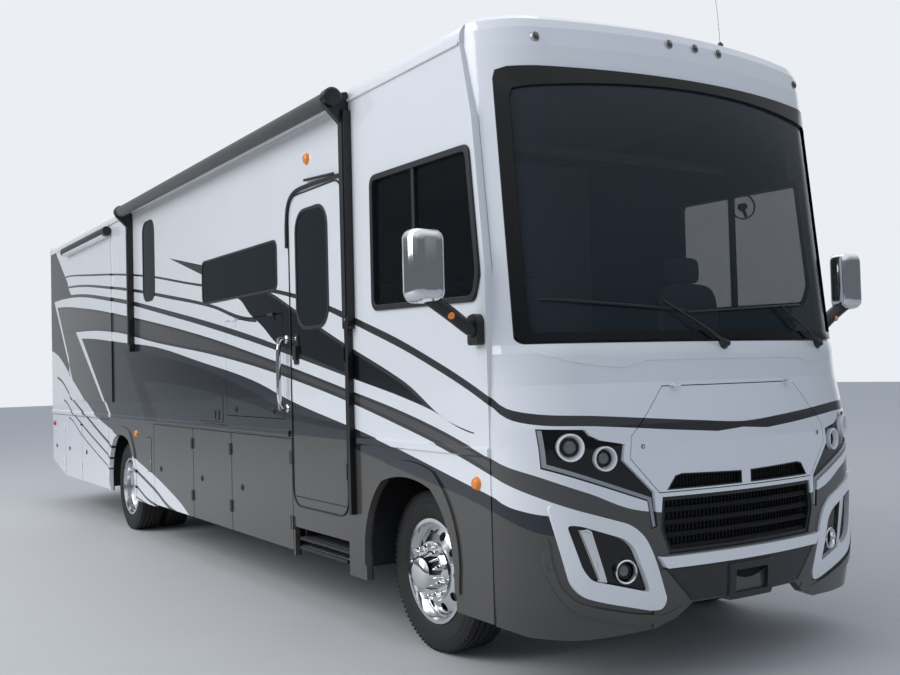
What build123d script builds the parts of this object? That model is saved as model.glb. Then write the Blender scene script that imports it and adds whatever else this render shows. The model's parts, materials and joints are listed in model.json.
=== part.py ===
from build123d import *
import math
import os

os.makedirs("parts", exist_ok=True)

# Driving dimensions, in millimetres. +Z is up, the nose is towards -Y, the entry door is on the -X side.

body_width = 2590
wall = 45
tail_y = 5620
roof_top_z = 3495
wall_top_z = 3343
skirt_z = 385
skirt_front_z = 345
wheelbase = 6147
front_axle_y = -4230

# Tyres and wheels, the size stamped on 22.5 inch tubeless wheels of this class

tyre_radius = 465
tyre_width = 255
rim_radius = 302
front_track_half = 1010
rear_outer_half = 1090
dual_spacing = 290
arch_half = tyre_radius + 45
arch_top_z = 2 * tyre_radius + 91

# Front cap, a plan outline of one wide bow and two tight corners

bow_radius = 3400
corner_radius = 450
cap_wall = 40
cap_bottom_z = 280
cap_seam_y = -5085
windshield_low_z = 1745
windshield_high_z = 3185

# Height and forward point of the cap at each change of slope

cap_levels = [
    (cap_bottom_z, -5545),
    (450, -5580),
    (600, -5590),
    (1230, -5590),
    (1330, -5578),
    (1540, -5530),
    (1700, -5515),
    (windshield_low_z, -5500),
    (windshield_high_z + 15, -5345),
    (3300, -5335),
    (3400, -5318),
    (3450, -5290),
    (3482, -5235),
    (roof_top_z, -5170),
]

# Clearances

gap = 5
seat_gap = 0.3
pin_gap = 0.3

# Floor levels

floor_top_z = arch_top_z + 179
floor_thick = 50
cab_floor_top_z = arch_top_z + 64
cab_floor_end_y = -3510
step_floor_z = floor_top_z - 480
step_mid_z = floor_top_z - 240
step_depth = 560

# Entry door and its opening

door_front_y = -3490
door_rear_y = -2645
door_low_z = 715
door_high_z = 2870
door_corner_radius = 90

# Windows of the right side: name, middle y, middle z, width, height, corner radius

small_window = ("living", -1600, 2425, 1640, 370, 60)
tall_window = ("bath", 808, 2785, 400, 800, 120)
door_window = ("door", -3010, 2345, 520, 830, 150)

# Cab side window, a four-sided outline in y and z

cab_window_points = [(-3880, 1995), (-5000, 1975), (-5050, 2110), (-4975, 2800), (-3885, 2815)]
cab_window_divider_y = -4390

# Slide-outs: side, first y, last y, low z, high z, travel

slide_wall = 40
slide_right = (-1, 2270, 4330, floor_top_z + 195, 3240, 600)
slide_left = (1, -2900, 950, floor_top_z + 62, 3240, 880)
slide_flange = 26
slide_face_proud = 14

# Baggage doors of the right and left sides, by first y and last y

bag_low_z = 392
bag_high_z = floor_top_z - 32
bag_doors_right = [(-2622, -1410), (-1410, -455), (-455, 737), (2480, 3754), (3754, 4670), (4670, 5440)]
bag_doors_left = [(-2622, -1410), (-1410, -455), (-455, 737), (2480, 3754)]
rear_skirt_z = 560
hinge_radius = 9
door_seam = 9
post_half = 3
hinge_half = 45
hinge_leaf = 12

# Belt rail above the baggage doors

belt_low_z = bag_high_z + 10
belt_high_z = belt_low_z + 53

# Outside screen compartment, hinged at its top edge

screen_y0, screen_y1 = -2500, -1330
screen_z0, screen_z1 = belt_high_z + 79, 2065

# Chassis

rail_half = 430
rail_low_z = tyre_radius + 235
rail_high_z = rail_low_z + 260
rail_flange = 75
rail_web = 8

half = body_width / 2
beyond_half = half + 105
rear_axle_y = front_axle_y + wheelbase
axle_z = tyre_radius
rear_inner_half = rear_outer_half - dual_spacing
rear_wall_y = tail_y - 60
rear_seam_y = rear_wall_y - 110


# Basic solids

def block(x0, x1, y0, y1, z0, z1):
    """A box given by its two limits on each axis."""
    size = Box(abs(x1 - x0), abs(y1 - y0), abs(z1 - z0))
    return Pos((x0 + x1) / 2, (y0 + y1) / 2, (z0 + z1) / 2) * size


def prism_x(face, x0, x1):
    """A face drawn in (y, z), pushed from x0 to x1."""
    low, high = min(x0, x1), max(x0, x1)
    plane = Plane(origin=(low, 0, 0), x_dir=(0, 1, 0), z_dir=(1, 0, 0))
    return extrude(plane * face, amount=high - low)


def prism_y(face, y0, y1):
    """A face drawn in (x, z), pushed from y0 to y1."""
    low, high = min(y0, y1), max(y0, y1)
    plane = Plane(origin=(0, high, 0), x_dir=(1, 0, 0), z_dir=(0, -1, 0))
    return extrude(plane * face, amount=high - low)


def prism_z(face, z0, z1):
    """A face drawn in (x, y), pushed from z0 to z1."""
    return extrude(Pos(0, 0, z0) * face, amount=z1 - z0)


def polygon(points):
    return make_face(Polyline(*points, close=True))


def rounded(cx, cy, width, height, radius):
    return Pos(cx, cy) * RectangleRounded(width, height, radius)


def tube_x(x0, x1, y, z, outer, inner=0):
    """A round bar or ring along X."""
    ring = Circle(outer) - Circle(inner) if inner else Circle(outer)
    return prism_x(Pos(y, z) * ring, x0, x1)


def rod_z(x, y, z0, z1, radius):
    return Pos(x, y, (z0 + z1) / 2) * Cylinder(radius, z1 - z0)


def rod_y(x, z, y0, y1, radius):
    return prism_y(Pos(x, z) * Circle(radius), y0, y1)


def other_side(shape):
    return mirror(shape, about=Plane.YZ)


def solids_of(items):
    found = []
    for item in items:
        found.extend(item.solids())
    return found


def save(name, *items):
    export_step(Compound(children=solids_of(items)), f"parts/{name}.step")


# Front cap shell

def cap_outline(y_front, inset=0.0, y_back=-4500):
    """Plan of the nose: a wide bow, two corners tangent to it, and straight sides."""
    big = bow_radius - inset
    small = corner_radius - inset
    side = half - inset
    front = y_front + inset
    bow_y = front + big
    corner_x = side - small
    corner_y = bow_y - math.sqrt((big - small) ** 2 - corner_x ** 2)
    reach = big / (big - small)
    join_x = corner_x * reach
    join_y = bow_y + (corner_y - bow_y) * reach
    slope = math.atan2(bow_y - corner_y, corner_x)
    mid = slope / 2
    mid_x = corner_x + small * math.cos(mid)
    mid_y = corner_y - small * math.sin(mid)
    edges = [
        Line((-side, y_back), (-side, corner_y)),
        ThreePointArc((-side, corner_y), (-mid_x, mid_y), (-join_x, join_y)),
        ThreePointArc((-join_x, join_y), (0, front), (join_x, join_y)),
        ThreePointArc((join_x, join_y), (mid_x, mid_y), (side, corner_y)),
        Line((side, corner_y), (side, y_back)),
        Line((side, y_back), (-side, y_back)),
    ]
    return make_face(Wire(edges))


def cap_block(inset=0.0, forward=0.0, z_low=None, z_high=None):
    """The cap's filled form between two heights, set in or forward by a distance."""
    levels = [(z, y - forward) for z, y in cap_levels]
    if z_low is not None:
        levels[0] = (z_low, levels[0][1])
    if z_high is not None:
        kept = [level for level in levels if level[0] < z_high - 10]
        levels = kept + [(z_high, kept[-1][1] + 20)]
    sections = [Pos(0, 0, z) * cap_outline(y, inset) for z, y in levels]
    return loft(sections, ruled=True)


# The seam between cap and walls leans back towards the roof

seam_points = [(cap_seam_y, 0), (cap_seam_y, 2150), (-5000, 2935), (-4905, wall_top_z), (-4905, 4000)]
behind_seam = prism_x(polygon(seam_points + [(7000, 4000), (7000, 0)]), -2000, 2000)
roof_front_y = seam_points[-1][0]


# Side walls

def arch_face(centre_y, half_length, top_z, grow=0.0):
    """A wheel arch as seen from the side, open at the bottom."""
    side = half_length + grow
    top = top_z + grow
    shoulder = side * 0.55
    return make_face(
        Polyline(
            (centre_y - side, 0),
            (centre_y - side, skirt_z + 120),
        )
        + ThreePointArc(
            (centre_y - side, skirt_z + 120),
            (centre_y - side * 0.82, top - 190),
            (centre_y - shoulder, top - 45),
        )
        + ThreePointArc(
            (centre_y - shoulder, top - 45),
            (centre_y, top),
            (centre_y + shoulder, top - 45),
        )
        + ThreePointArc(
            (centre_y + shoulder, top - 45),
            (centre_y + side * 0.82, top - 190),
            (centre_y + side, skirt_z + 120),
        )
        + Polyline(
            (centre_y + side, skirt_z + 120),
            (centre_y + side, 0),
            (centre_y - side, 0),
        )
    )


def window_face(window, inset=0.0):
    _, y, z, width, height, radius = window
    return rounded(y, z, width - 2 * inset, height - 2 * inset, radius - inset)


def cab_window_face(inset=0.0):
    outline = polygon(cab_window_points)
    if inset:
        outline = offset(outline, amount=-inset)
    return fillet(outline.vertices(), 55 - inset * 0.6)


def slide_opening(slide):
    side, y0, y1, z0, z1, _ = slide
    return block(side * (half - 200), side * (half + 50), y0 - gap, y1 + gap, z0 - gap, z1 + gap)


def door_face(grow=0.0):
    width = door_rear_y - door_front_y + 2 * grow
    height = door_high_z - door_low_z + 2 * grow
    return rounded(
        (door_front_y + door_rear_y) / 2, (door_low_z + door_high_z) / 2, width, height,
        door_corner_radius + grow,
    )


wall_outline = polygon(
    [
        (cap_seam_y, skirt_front_z),
        (rear_seam_y - 780, skirt_z),
        (rear_seam_y, rear_skirt_z),
        (rear_seam_y, wall_top_z),
        (cap_seam_y, wall_top_z),
    ]
)

# Belt rail and wheel arch flares stand proud of the walls

rail_proud = 14
flare_proud = 12
flare_side = 45
flare_top = 95
belt_section = [(half, belt_low_z), (half + rail_proud, belt_low_z + 9), (half + rail_proud, belt_high_z - 9),
                (half, belt_high_z)]


def belt_rail(side, y0, y1):
    section = [(side * x, z) for x, z in belt_section]
    return prism_y(polygon(section), y0, y1)


def hinge_heights(z0, z1):
    """Middles of the two barrels of a baggage door."""
    return (z0 + 190, z1 - 130)


def fixed_leaves(side, y_edge, y_back):
    """Leaves of a baggage door's two hinges on the wall edge or post ahead of it."""
    leaves = []
    for z in hinge_heights(bag_low_z, bag_high_z):
        leaves.append(
            block(
                side * (half - gap), side * (half + hinge_leaf), y_back, y_edge + door_seam - pin_gap,
                z - hinge_half, z + hinge_half,
            )
        )
    return leaves


def flare(side, centre):
    """A raised lip round a wheel arch, cut off at the belt rail."""
    ring = arch_face(centre, arch_half + flare_side, arch_top_z + flare_top)
    ring -= arch_face(centre, arch_half, arch_top_z)
    lip = prism_x(ring, side * half, side * (half + flare_proud))
    return lip - block(-2000, 2000, centre - 900, centre + 900, 0, skirt_z + 60)


def plain_wall(side):
    """One side wall with its wheel arches, before doors and windows are cut."""
    body = prism_x(wall_outline, side * (half - wall), side * half) & behind_seam
    for centre in (front_axle_y, rear_axle_y):
        body -= prism_x(arch_face(centre, arch_half, arch_top_z), side * (half - 200), side * (half + 50))
    return body


def baggage_cuts(side, doors):
    cuts = []
    for y0, y1 in doors:
        cuts.append(block(side * (half - 200), side * (half + 50), y0, y1, 0, bag_high_z + gap))
    return cuts


def through(face, side):
    return prism_x(face, side * (half - 200), side * (half + 50))


wall_right = plain_wall(-1)
wall_right -= through(door_face(gap), -1)
wall_right -= block(-half - 50, -half + 200, door_front_y, door_rear_y, 0, 560)
wall_right -= through(window_face(small_window), -1)
wall_right -= through(window_face(tall_window), -1)
wall_right -= through(cab_window_face(), -1)
wall_right -= slide_opening(slide_right)
wall_right -= block(
    -half - 50, -half + 200, screen_y0 - gap, screen_y1 + gap, screen_z0 - gap, screen_z1 + gap
)
for cut in baggage_cuts(-1, bag_doors_right):
    wall_right -= cut
for y0, y1 in ((cap_seam_y, -3640), (-2590, rear_seam_y)):
    wall_right += belt_rail(-1, y0, y1)
for centre in (front_axle_y, rear_axle_y):
    wall_right += flare(-1, centre)
for doors in (bag_doors_right[0], bag_doors_right[3]):
    for leaf in fixed_leaves(-1, doors[0], doors[0] - 10):
        wall_right += leaf

# The screen compartment is a rim of boards and a back board behind the wall

pocket_wall = 12
pocket_depth = 105
pocket_edge = 30
pocket_x = -half + wall + seat_gap
pocket_rim = block(
    pocket_x, pocket_x + pocket_depth - pocket_wall, screen_y0 - pocket_edge, screen_y1 + pocket_edge,
    screen_z0 - pocket_edge, screen_z1 + pocket_edge,
)
pocket_rim -= block(
    pocket_x - 10, pocket_x + pocket_depth, screen_y0 - gap, screen_y1 + gap, screen_z0 - gap, screen_z1 + gap
)
pocket_back = block(
    pocket_x + pocket_depth - pocket_wall + seat_gap, pocket_x + pocket_depth, screen_y0 - pocket_edge,
    screen_y1 + pocket_edge, screen_z0 - pocket_edge, screen_z1 + pocket_edge,
)

rear_left_window = ("bedroom", 3000, 2500, 1100, 620, 80)
wall_left = plain_wall(1)
wall_left -= through(cab_window_face(), 1)
wall_left -= through(window_face(rear_left_window), 1)
wall_left -= slide_opening(slide_left)
for cut in baggage_cuts(1, bag_doors_left):
    wall_left -= cut

wall_left += belt_rail(1, cap_seam_y, rear_seam_y)
for centre in (front_axle_y, rear_axle_y):
    wall_left += flare(1, centre)
for doors in (bag_doors_left[0], bag_doors_left[3]):
    for leaf in fixed_leaves(1, doors[0], doors[0] - 10):
        wall_left += leaf

save("side_wall_right", wall_right, pocket_rim, pocket_back)
save("side_wall_left", wall_left)

# Roof with a crowned top and rounded edges

roof_edge = 110
roof_section = make_face(
    Polyline((-half, wall_top_z), (half, wall_top_z), (half, roof_top_z - 20 - roof_edge))
    + ThreePointArc(
        (half, roof_top_z - 20 - roof_edge),
        (half - roof_edge * 0.2929, roof_top_z - 20 - roof_edge * 0.2929),
        (half - roof_edge, roof_top_z - 20),
    )
    + ThreePointArc(
        (half - roof_edge, roof_top_z - 20), (0, roof_top_z), (-half + roof_edge, roof_top_z - 20)
    )
    + ThreePointArc(
        (-half + roof_edge, roof_top_z - 20),
        (-half + roof_edge * 0.2929, roof_top_z - 20 - roof_edge * 0.2929),
        (-half, roof_top_z - 20 - roof_edge),
    )
    + Line((-half, roof_top_z - 20 - roof_edge), (-half, wall_top_z))
)
roof = prism_y(roof_section, roof_front_y, rear_seam_y)
save("roof", roof)

# Rear cap: a shallow tray that closes the back

rear_plan = make_face(
    Polyline((-half, rear_seam_y), (half, rear_seam_y), (half, rear_wall_y - 100))
    + ThreePointArc((half, rear_wall_y - 100), (half - 29, rear_wall_y - 29), (half - 100, rear_wall_y))
    + Line((half - 100, rear_wall_y), (-half + 100, rear_wall_y))
    + ThreePointArc((-half + 100, rear_wall_y), (-half + 29, rear_wall_y - 29), (-half, rear_wall_y - 100))
    + Line((-half, rear_wall_y - 100), (-half, rear_seam_y))
)
rear_form = prism_z(rear_plan, rear_skirt_z, roof_top_z + 50)
rear_form &= prism_y(roof_section, rear_seam_y - 10, rear_wall_y + 10) + block(
    -half - 10, half + 10, rear_seam_y - 10, rear_wall_y + 10, 0, wall_top_z
)
rear_cap = rear_form - block(
    -half + wall, half - wall, rear_seam_y - 10, rear_wall_y - 50, rear_skirt_z - 10, wall_top_z
)
bumper_section = polygon([(rear_wall_y, rear_skirt_z), (rear_wall_y + 30, rear_skirt_z + 12),
                          (rear_wall_y + 38, rear_skirt_z + 40), (rear_wall_y + 38, rear_skirt_z + 170),
                          (rear_wall_y, rear_skirt_z + 205)])
rear_cap += prism_x(bumper_section, -half + 110, half - 110)
save("rear_cap", rear_cap)

# Front cap, hood, grille and lamp panels come out of one shell

cap_form = cap_block(z_low=cap_bottom_z)
front_only = cap_form - behind_seam
over_roof = prism_y(roof_section, -6000, roof_front_y + 1)
over_roof += block(-beyond_half, beyond_half, -6000, -4000, 0, wall_top_z)
front_only &= over_roof
inner_form = cap_block(inset=cap_wall, z_low=cap_bottom_z - 50, z_high=roof_top_z - cap_wall - 20)
cap_shell = front_only - inner_form

glass_half = half - 90
glass_top_half = half - 100
glass_corner_z = windshield_high_z - 60
windshield_face = make_face(
    Polyline(
        (-glass_half, windshield_low_z), (glass_half, windshield_low_z), (glass_top_half, glass_corner_z)
    )
    + ThreePointArc(
        (glass_top_half, glass_corner_z), (0, windshield_high_z), (-glass_top_half, glass_corner_z)
    )
    + Line((-glass_top_half, glass_corner_z), (-glass_half, windshield_low_z))
)
windshield_face = fillet(windshield_face.vertices(), 40)

hood_points = [(-497, 1515), (497, 1515), (610, 1385), (722, 1270), (735, 1165), (575, 985), (-575, 985),
               (-735, 1165), (-722, 1270), (-610, 1385)]
hood_face = polygon(hood_points)
hood_opening = offset(hood_face, amount=gap)
grille_points = [(-560, 960), (560, 960), (578, 800), (530, 672), (-530, 672), (-578, 800)]
grille_face = polygon(grille_points)
lamp_points = [(-1175, 1325), (-965, 1316), (-940, 1285), (-890, 1260), (-762, 1236), (-774, 1155),
               (-605, 985), (-595, 815), (-630, 805), (-650, 945), (-1165, 1130)]
lamp_face = polygon(lamp_points)
pod_points = [(-1080, 858), (-1019, 852), (-791, 773), (-736, 726), (-645, 490), (-967, 576), (-1012, 635)]
pod_face = fillet(polygon(pod_points).vertices(), 12)
surround_points = [(-1154, 965), (-751, 838), (-677, 775), (-631, 682), (-552, 445), (-575, 397), (-640, 399),
                   (-917, 469), (-1014, 503), (-1066, 565)]
surround_face = fillet(polygon(surround_points).vertices(), 15)
bumper_top_z = 600
bumper_foot = [(612, 298), (480, 345), (390, 415)]
bumper_foot_left = [(-x, z) for x, z in bumper_foot]
bumper_face = polygon(
    bumper_foot_left + bumper_foot[::-1] + [(640, bumper_top_z), (-640, bumper_top_z)]
)

# Lower edge of the cap, low under the pods and higher at the wheel arches and the middle

foot_side = [(beyond_half, 0), (beyond_half, skirt_front_z), (half, skirt_front_z - 5), (half - 97, 300),
             (1025, cap_bottom_z + 2), (868, cap_bottom_z + 2)]
foot_left = [(-x, z) for x, z in foot_side]
foot_cut = polygon(foot_left + bumper_foot_left + bumper_foot[::-1] + foot_side[::-1])
chin_points = [(-568, 606), (568, 606), (604, 664), (560, 655), (-560, 655), (-604, 664)]
surround_proud = 10
chin_proud = 30
bumper_proud = 10
plate_frame_proud = 24


def nose(face):
    """A face drawn in (x, z) as a cutter through the nose."""
    return prism_y(face, -6000, -5000)


def both_nose(face):
    cutter = nose(face)
    return [cutter, other_side(cutter)]


front_cap = cap_shell - nose(windshield_face) - nose(hood_opening) - nose(grille_face)
for cutter in both_nose(lamp_face) + both_nose(pod_face):
    front_cap -= cutter
front_cap -= nose(bumper_face) + nose(foot_cut)

hood_axis_y = -5541
hood_axis_z = 1517
hood_pin_radius = 5


def hood_ear(x0, x1, z0, z1):
    """A hinge ear that stands forward of the skin to the hood's pin line."""
    ear = block(x0, x1, hood_axis_y, -5495, z0, z1) - inner_form
    return ear + tube_x(x0, x1, hood_axis_y, hood_axis_z, hood_pin_radius)


for side in (-1, 1):
    front_cap += hood_ear(side * 430.3, side * 450, hood_axis_z, hood_axis_z + 16)
save("front_cap", front_cap)

glass_thick = 8
glass_outer = cap_block(inset=12, z_low=cap_bottom_z)
glass_inner = cap_block(inset=12 + glass_thick, z_low=cap_bottom_z)
windshield = (glass_outer - glass_inner - behind_seam) & nose(windshield_face)
save("windshield", windshield)

vent_points = [(35, 996), (530, 996), (478, 1062), (440, 1072), (35, 1060)]
hood = cap_shell & nose(hood_face)
for side in (-1, 1):
    vent = [(side * x, z) for x, z in vent_points]
    hood -= nose(polygon(vent))
for side in (-1, 1):
    hood += hood_ear(side * 410, side * 430, hood_axis_z - 16, hood_axis_z)
save("hood", hood)

recess_outer = cap_block(inset=22, z_low=cap_bottom_z)
recess_inner = cap_block(inset=cap_wall, z_low=cap_bottom_z)
recess_shell = recess_outer - recess_inner - behind_seam


def pan(face):
    return recess_shell & nose(face)


grille_plate = pan(grille_face)
slats = []
for row in range(4):
    z = 713 + row * 66
    slats.append(nose(rounded(0, z, 1010, 44, 8)))
for slat in slats:
    grille_plate -= slat
save("grille", grille_plate)

lamp_pans = [pan(lamp_face), other_side(pan(lamp_face)), pan(pod_face), other_side(pan(pod_face))]
lamp_rounds = [(-1042, 1231, 64), (-869, 1169, 58), (-778, 606, 58)]
lamp_lenses = []
lens_shell = cap_block(inset=8) - cap_block(inset=22) - behind_seam
for x, z, radius in lamp_rounds:
    lens = lens_shell & nose(Pos(x, z) * Circle(radius))
    lamp_lenses += [lens, other_side(lens)]
save("headlamps", *lamp_pans, *lamp_lenses)

# Bumper centre with a sunk plate place, and trim that stands on the skin

bumper_back = cap_block(inset=cap_wall + 10, z_low=200)
bumper = (cap_block(forward=bumper_proud) - bumper_back - behind_seam) & nose(bumper_face)
for cutter in both_nose(offset(surround_face, amount=gap)) + [nose(offset(polygon(chin_points), amount=gap))]:
    bumper -= cutter
plate_z = 490
plate_frame = cap_block(forward=plate_frame_proud) - bumper_back - behind_seam
bumper += plate_frame & nose(rounded(0, plate_z, 330, 190, 16))
bumper -= prism_y(rounded(0, plate_z, 250, 125, 10), -6000, -5582)
save("front_bumper", bumper)


def raised(face, height):
    """A strip of the given outline that stands on the skin."""
    return (cap_block(forward=height) - cap_form - behind_seam) & nose(face)


surround = raised(surround_face, surround_proud) - nose(pod_face)
chin = raised(polygon(chin_points), chin_proud)
save("nose_trim", surround, other_side(surround), chin)

# Floor with the cab level and the entry step well

floor_bottom_z = floor_top_z - floor_thick
inside = half - wall
main_floor = block(-inside, inside, cab_floor_end_y, rear_seam_y, floor_bottom_z, floor_top_z)
cab_floor = block(-inside, inside, -5320, cab_floor_end_y, cab_floor_top_z - floor_thick, cab_floor_top_z)
cab_floor &= cap_block(inset=cap_wall + seat_gap, z_low=cap_bottom_z)
riser = block(
    -inside, inside, cab_floor_end_y, cab_floor_end_y + 40, cab_floor_top_z - floor_thick, floor_top_z
)
well_y0, well_y1 = door_front_y + 10, door_rear_y - 10
well_x = -inside + step_depth
floor = main_floor + cab_floor + riser
floor -= block(-inside - 10, well_x, well_y0, well_y1, 0, floor_top_z + 10)
well = block(-inside, well_x + 40, well_y0 - 40, well_y1 + 40, step_floor_z - 40, floor_bottom_z)
well -= block(-inside - 10, well_x, well_y0, well_y1, step_floor_z, floor_top_z)
well += block(-inside + step_depth / 2, well_x, well_y0, well_y1, step_floor_z, step_mid_z)
floor = floor + well

# Chassis: two channel rails with cross members

rail_y0, rail_y1 = -5450, 5440
members = []
for side in (-1, 1):
    web = block(side * rail_half, side * (rail_half - rail_web), rail_y0, rail_y1, rail_low_z, rail_high_z)
    flange_x = side * (rail_half - rail_flange)
    low = block(side * rail_half, flange_x, rail_y0, rail_y1, rail_low_z, rail_low_z + rail_web)
    high = block(side * rail_half, flange_x, rail_y0, rail_y1, rail_high_z - rail_web, rail_high_z)
    members.append(web + low + high)
cross_y = [-5400, -3500, -2300, -1300, -300, 600, 1280, 2650, 3900, 5000]
bearer_y = [-2450, -1300, -300, 600, 1280, 2650, 3900, 5000]
cross_half = 40
bearer_half = 30
cross_x = rail_half - rail_web - seat_gap
for y in cross_y:
    members.append(
        block(-cross_x, cross_x, y - cross_half, y + cross_half, rail_low_z + 60, rail_low_z + 160)
    )
for y in bearer_y:
    members.append(
        block(-inside, inside, y - bearer_half, y + bearer_half, rail_high_z + seat_gap, floor_bottom_z)
    )
for y in (-5000, -3700):
    for side in (-1, 1):
        members.append(
            block(
                side * (rail_half - 70), side * rail_half, y - bearer_half, y + bearer_half,
                rail_high_z + seat_gap, cab_floor_top_z - floor_thick,
            )
        )
save("chassis_frame", *members)

# Engine block between the rails under the cab

engine_rear_y = -4520
engine = block(-300, 300, -5180, engine_rear_y, rail_low_z, rail_low_z + 325)
engine += block(
    -rail_half + rail_web, rail_half - rail_web, -4900, -4800, rail_low_z + 60, rail_low_z + 160
)
save("engine", engine)

# Axles and springs

beam_low_z, beam_high_z = axle_z - 45, axle_z + 45
pivot_x = 870
king_pin_radius = 22
boss_radius = 50
front_beam = block(-pivot_x, pivot_x, front_axle_y - 45, front_axle_y + 45, beam_low_z, beam_high_z)
for side in (-1, 1):
    front_beam += rod_z(side * pivot_x, front_axle_y, beam_low_z - 5, beam_high_z + 5, boss_radius)
for side in (-1, 1):
    front_beam -= rod_z(side * pivot_x, front_axle_y, axle_z - 165, axle_z + 235, king_pin_radius + 0.05)
save("front_axle", front_beam)
rear_tube = tube_x(-760, 760, rear_axle_y, axle_z, 70)
diff = Pos(0, rear_axle_y, axle_z) * Rotation(0, 90, 0) * Cylinder(190, 160)
pinion = rod_y(0, axle_z, rear_axle_y - 420, rear_axle_y, 85)
spindles = tube_x(-1160, -760, rear_axle_y, axle_z, 45) + tube_x(760, 1160, rear_axle_y, axle_z, 45)
rear_axle = rear_tube + diff + pinion + spindles

springs = []
for side in (-1, 1):
    for axle_y, low in ((front_axle_y, beam_high_z), (rear_axle_y, axle_z + 70)):
        leaf = make_face(
            ThreePointArc((axle_y - 680, rail_low_z - 20), (axle_y, low), (axle_y + 680, rail_low_z - 20))
            + Polyline((axle_y + 680, rail_low_z - 20), (axle_y + 680, rail_low_z))
            + ThreePointArc((axle_y + 680, rail_low_z), (axle_y, low + 50), (axle_y - 680, rail_low_z))
            + Polyline((axle_y - 680, rail_low_z), (axle_y - 680, rail_low_z - 20))
        )
        x0 = side * (rail_half - 75)
        springs.append(prism_x(leaf, x0, side * rail_half))
save("leaf_springs", *springs)

shaft = rod_y(0, axle_z, rear_axle_y - 900, rear_axle_y - 420, 45)
shaft_start_y = rear_axle_y - 880
shaft_rise = 0.05
shaft_length = (shaft_start_y - engine_rear_y - seat_gap) * math.hypot(1, shaft_rise) - 45 * shaft_rise
shaft_plane = Plane(origin=(0, shaft_start_y, axle_z), x_dir=(1, 0, 0), z_dir=(0, -1, shaft_rise))
shaft += extrude(shaft_plane * Circle(45), amount=shaft_length)
save("rear_axle", rear_axle + shaft)

tank = block(-340, 340, 2620, 3800, rail_low_z - 140, rail_low_z + 60)
save("fuel_tank", tank)

# Wheel housings, storage tubs

housing_wall = 10
housing_reach = arch_half + 60
housing_low_z = 420
housing_top_z = arch_top_z + 12
axle_slot_top_z = axle_z + 175
housings = []
for side in (-1, 1):
    for centre, x_in in ((front_axle_y, 580), (rear_axle_y, 620)):
        outer = block(
            side * x_in, side * inside, centre - housing_reach, centre + housing_reach,
            housing_low_z, housing_top_z,
        )
        inner = block(
            side * (x_in + housing_wall), side * (inside + 5), centre - housing_reach + housing_wall,
            centre + housing_reach - housing_wall, housing_low_z - 10, housing_top_z - housing_wall,
        )
        slot = block(
            side * (x_in - 5), side * (x_in + 15), centre - 420, centre + 420,
            housing_low_z - 20, axle_slot_top_z,
        )
        housings.append(outer - inner - slot)
save("wheel_housings", *housings)

# Each storage bay is a pan, a back board, end boards and thin posts where its doors meet

bay_wall = 15
bay_back_x = 470
bay_front_x = inside - 8
bay_spans = [(-2600, 737, 400), (2500, rear_seam_y - 60, 600)]
boards = []
for side, doors in ((-1, bag_doors_right), (1, bag_doors_left)):
    for y0, y1, low in bay_spans:
        foot = low + bay_wall + seat_gap
        top = rail_high_z
        boards.append(block(side * bay_back_x, side * bay_front_x, y0, y1, low, low + bay_wall))
        boards.append(block(side * bay_back_x, side * (bay_back_x + bay_wall), y0, y1, foot, top))
        end_x = side * (bay_back_x + bay_wall + seat_gap)
        for y in (y0, y1 - bay_wall):
            boards.append(block(end_x, side * bay_front_x, y, y + bay_wall, foot, top))
        for door_y, _ in doors:
            if y0 + 100 < door_y < y1 - 100:
                post_y0, post_y1 = door_y - post_half, door_y + post_half
                post = block(end_x, side * bay_front_x, post_y0, post_y1, foot, floor_bottom_z)
                post += block(side * bay_front_x, side * half, post_y0, post_y1, low, floor_bottom_z)
                for leaf in fixed_leaves(side, door_y, door_y - post_half):
                    post += leaf
                boards.append(post)
save("storage_bays", *boards)

# Steered hubs and wheels

for side, name in ((-1, "right"), (1, "left")):
    fork = block(
        side * (pivot_x - 45), side * (pivot_x + 100), front_axle_y - 45, front_axle_y + 45,
        axle_z - 115, axle_z + 115,
    )
    fork -= block(
        side * (pivot_x - 60), side * (pivot_x + boss_radius + gap),
        front_axle_y - 60, front_axle_y + 60, beam_low_z - 10, beam_high_z + 10,
    )
    king_pin = rod_z(side * pivot_x, front_axle_y, axle_z - 113, axle_z + 113, king_pin_radius)
    spindle = tube_x(side * (pivot_x + 90), side * 1085, front_axle_y, axle_z, 40)
    save(f"steering_knuckle_{name}", fork + king_pin + spindle)


rim_half = 115
hand_holes = 10
hand_hole_radius = 26
hand_hole_circle = 212
barrel_points = [(-rim_half, rim_radius), (-rim_half, rim_radius - 20), (-rim_half + 30, rim_radius - 27),
                 (rim_half - 30, rim_radius - 27), (rim_half, rim_radius - 20), (rim_half, rim_radius),
                 (rim_half - 9, rim_radius), (rim_half - 15, rim_radius - 11),
                 (-rim_half + 15, rim_radius - 11), (-rim_half + 9, rim_radius)]
steer_disc_points = [(62, 277), (66, 258), (90, 212), (108, 160), (110, 95), (90, 95), (88, 155), (72, 204),
                     (48, 250), (44, 277)]
drive_disc_points = [(44, 277), (38, 258), (-30, 226), (-78, 180), (-92, 112), (-112, 112), (-98, 186),
                     (-48, 236), (18, 264), (24, 277)]
side_x = -tyre_width / 2
tyre_points = [(-99, rim_radius - 10.5), (-105.2, rim_radius + 0.4), (-120, rim_radius + 28),
               (side_x, rim_radius + 72), (side_x + 4, tyre_radius - 52), (side_x + 17, tyre_radius - 17),
               (side_x + 34, tyre_radius - 3)]


def turned(points, x_mid, side, axle_y):
    """A ring or disc turned about an axle, from its half section in (x, radius)."""
    section = polygon([(side * x, radius) for x, radius in points])
    return Pos(x_mid, axle_y, axle_z) * revolve(section, axis=Axis.X, revolution_arc=360)


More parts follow.
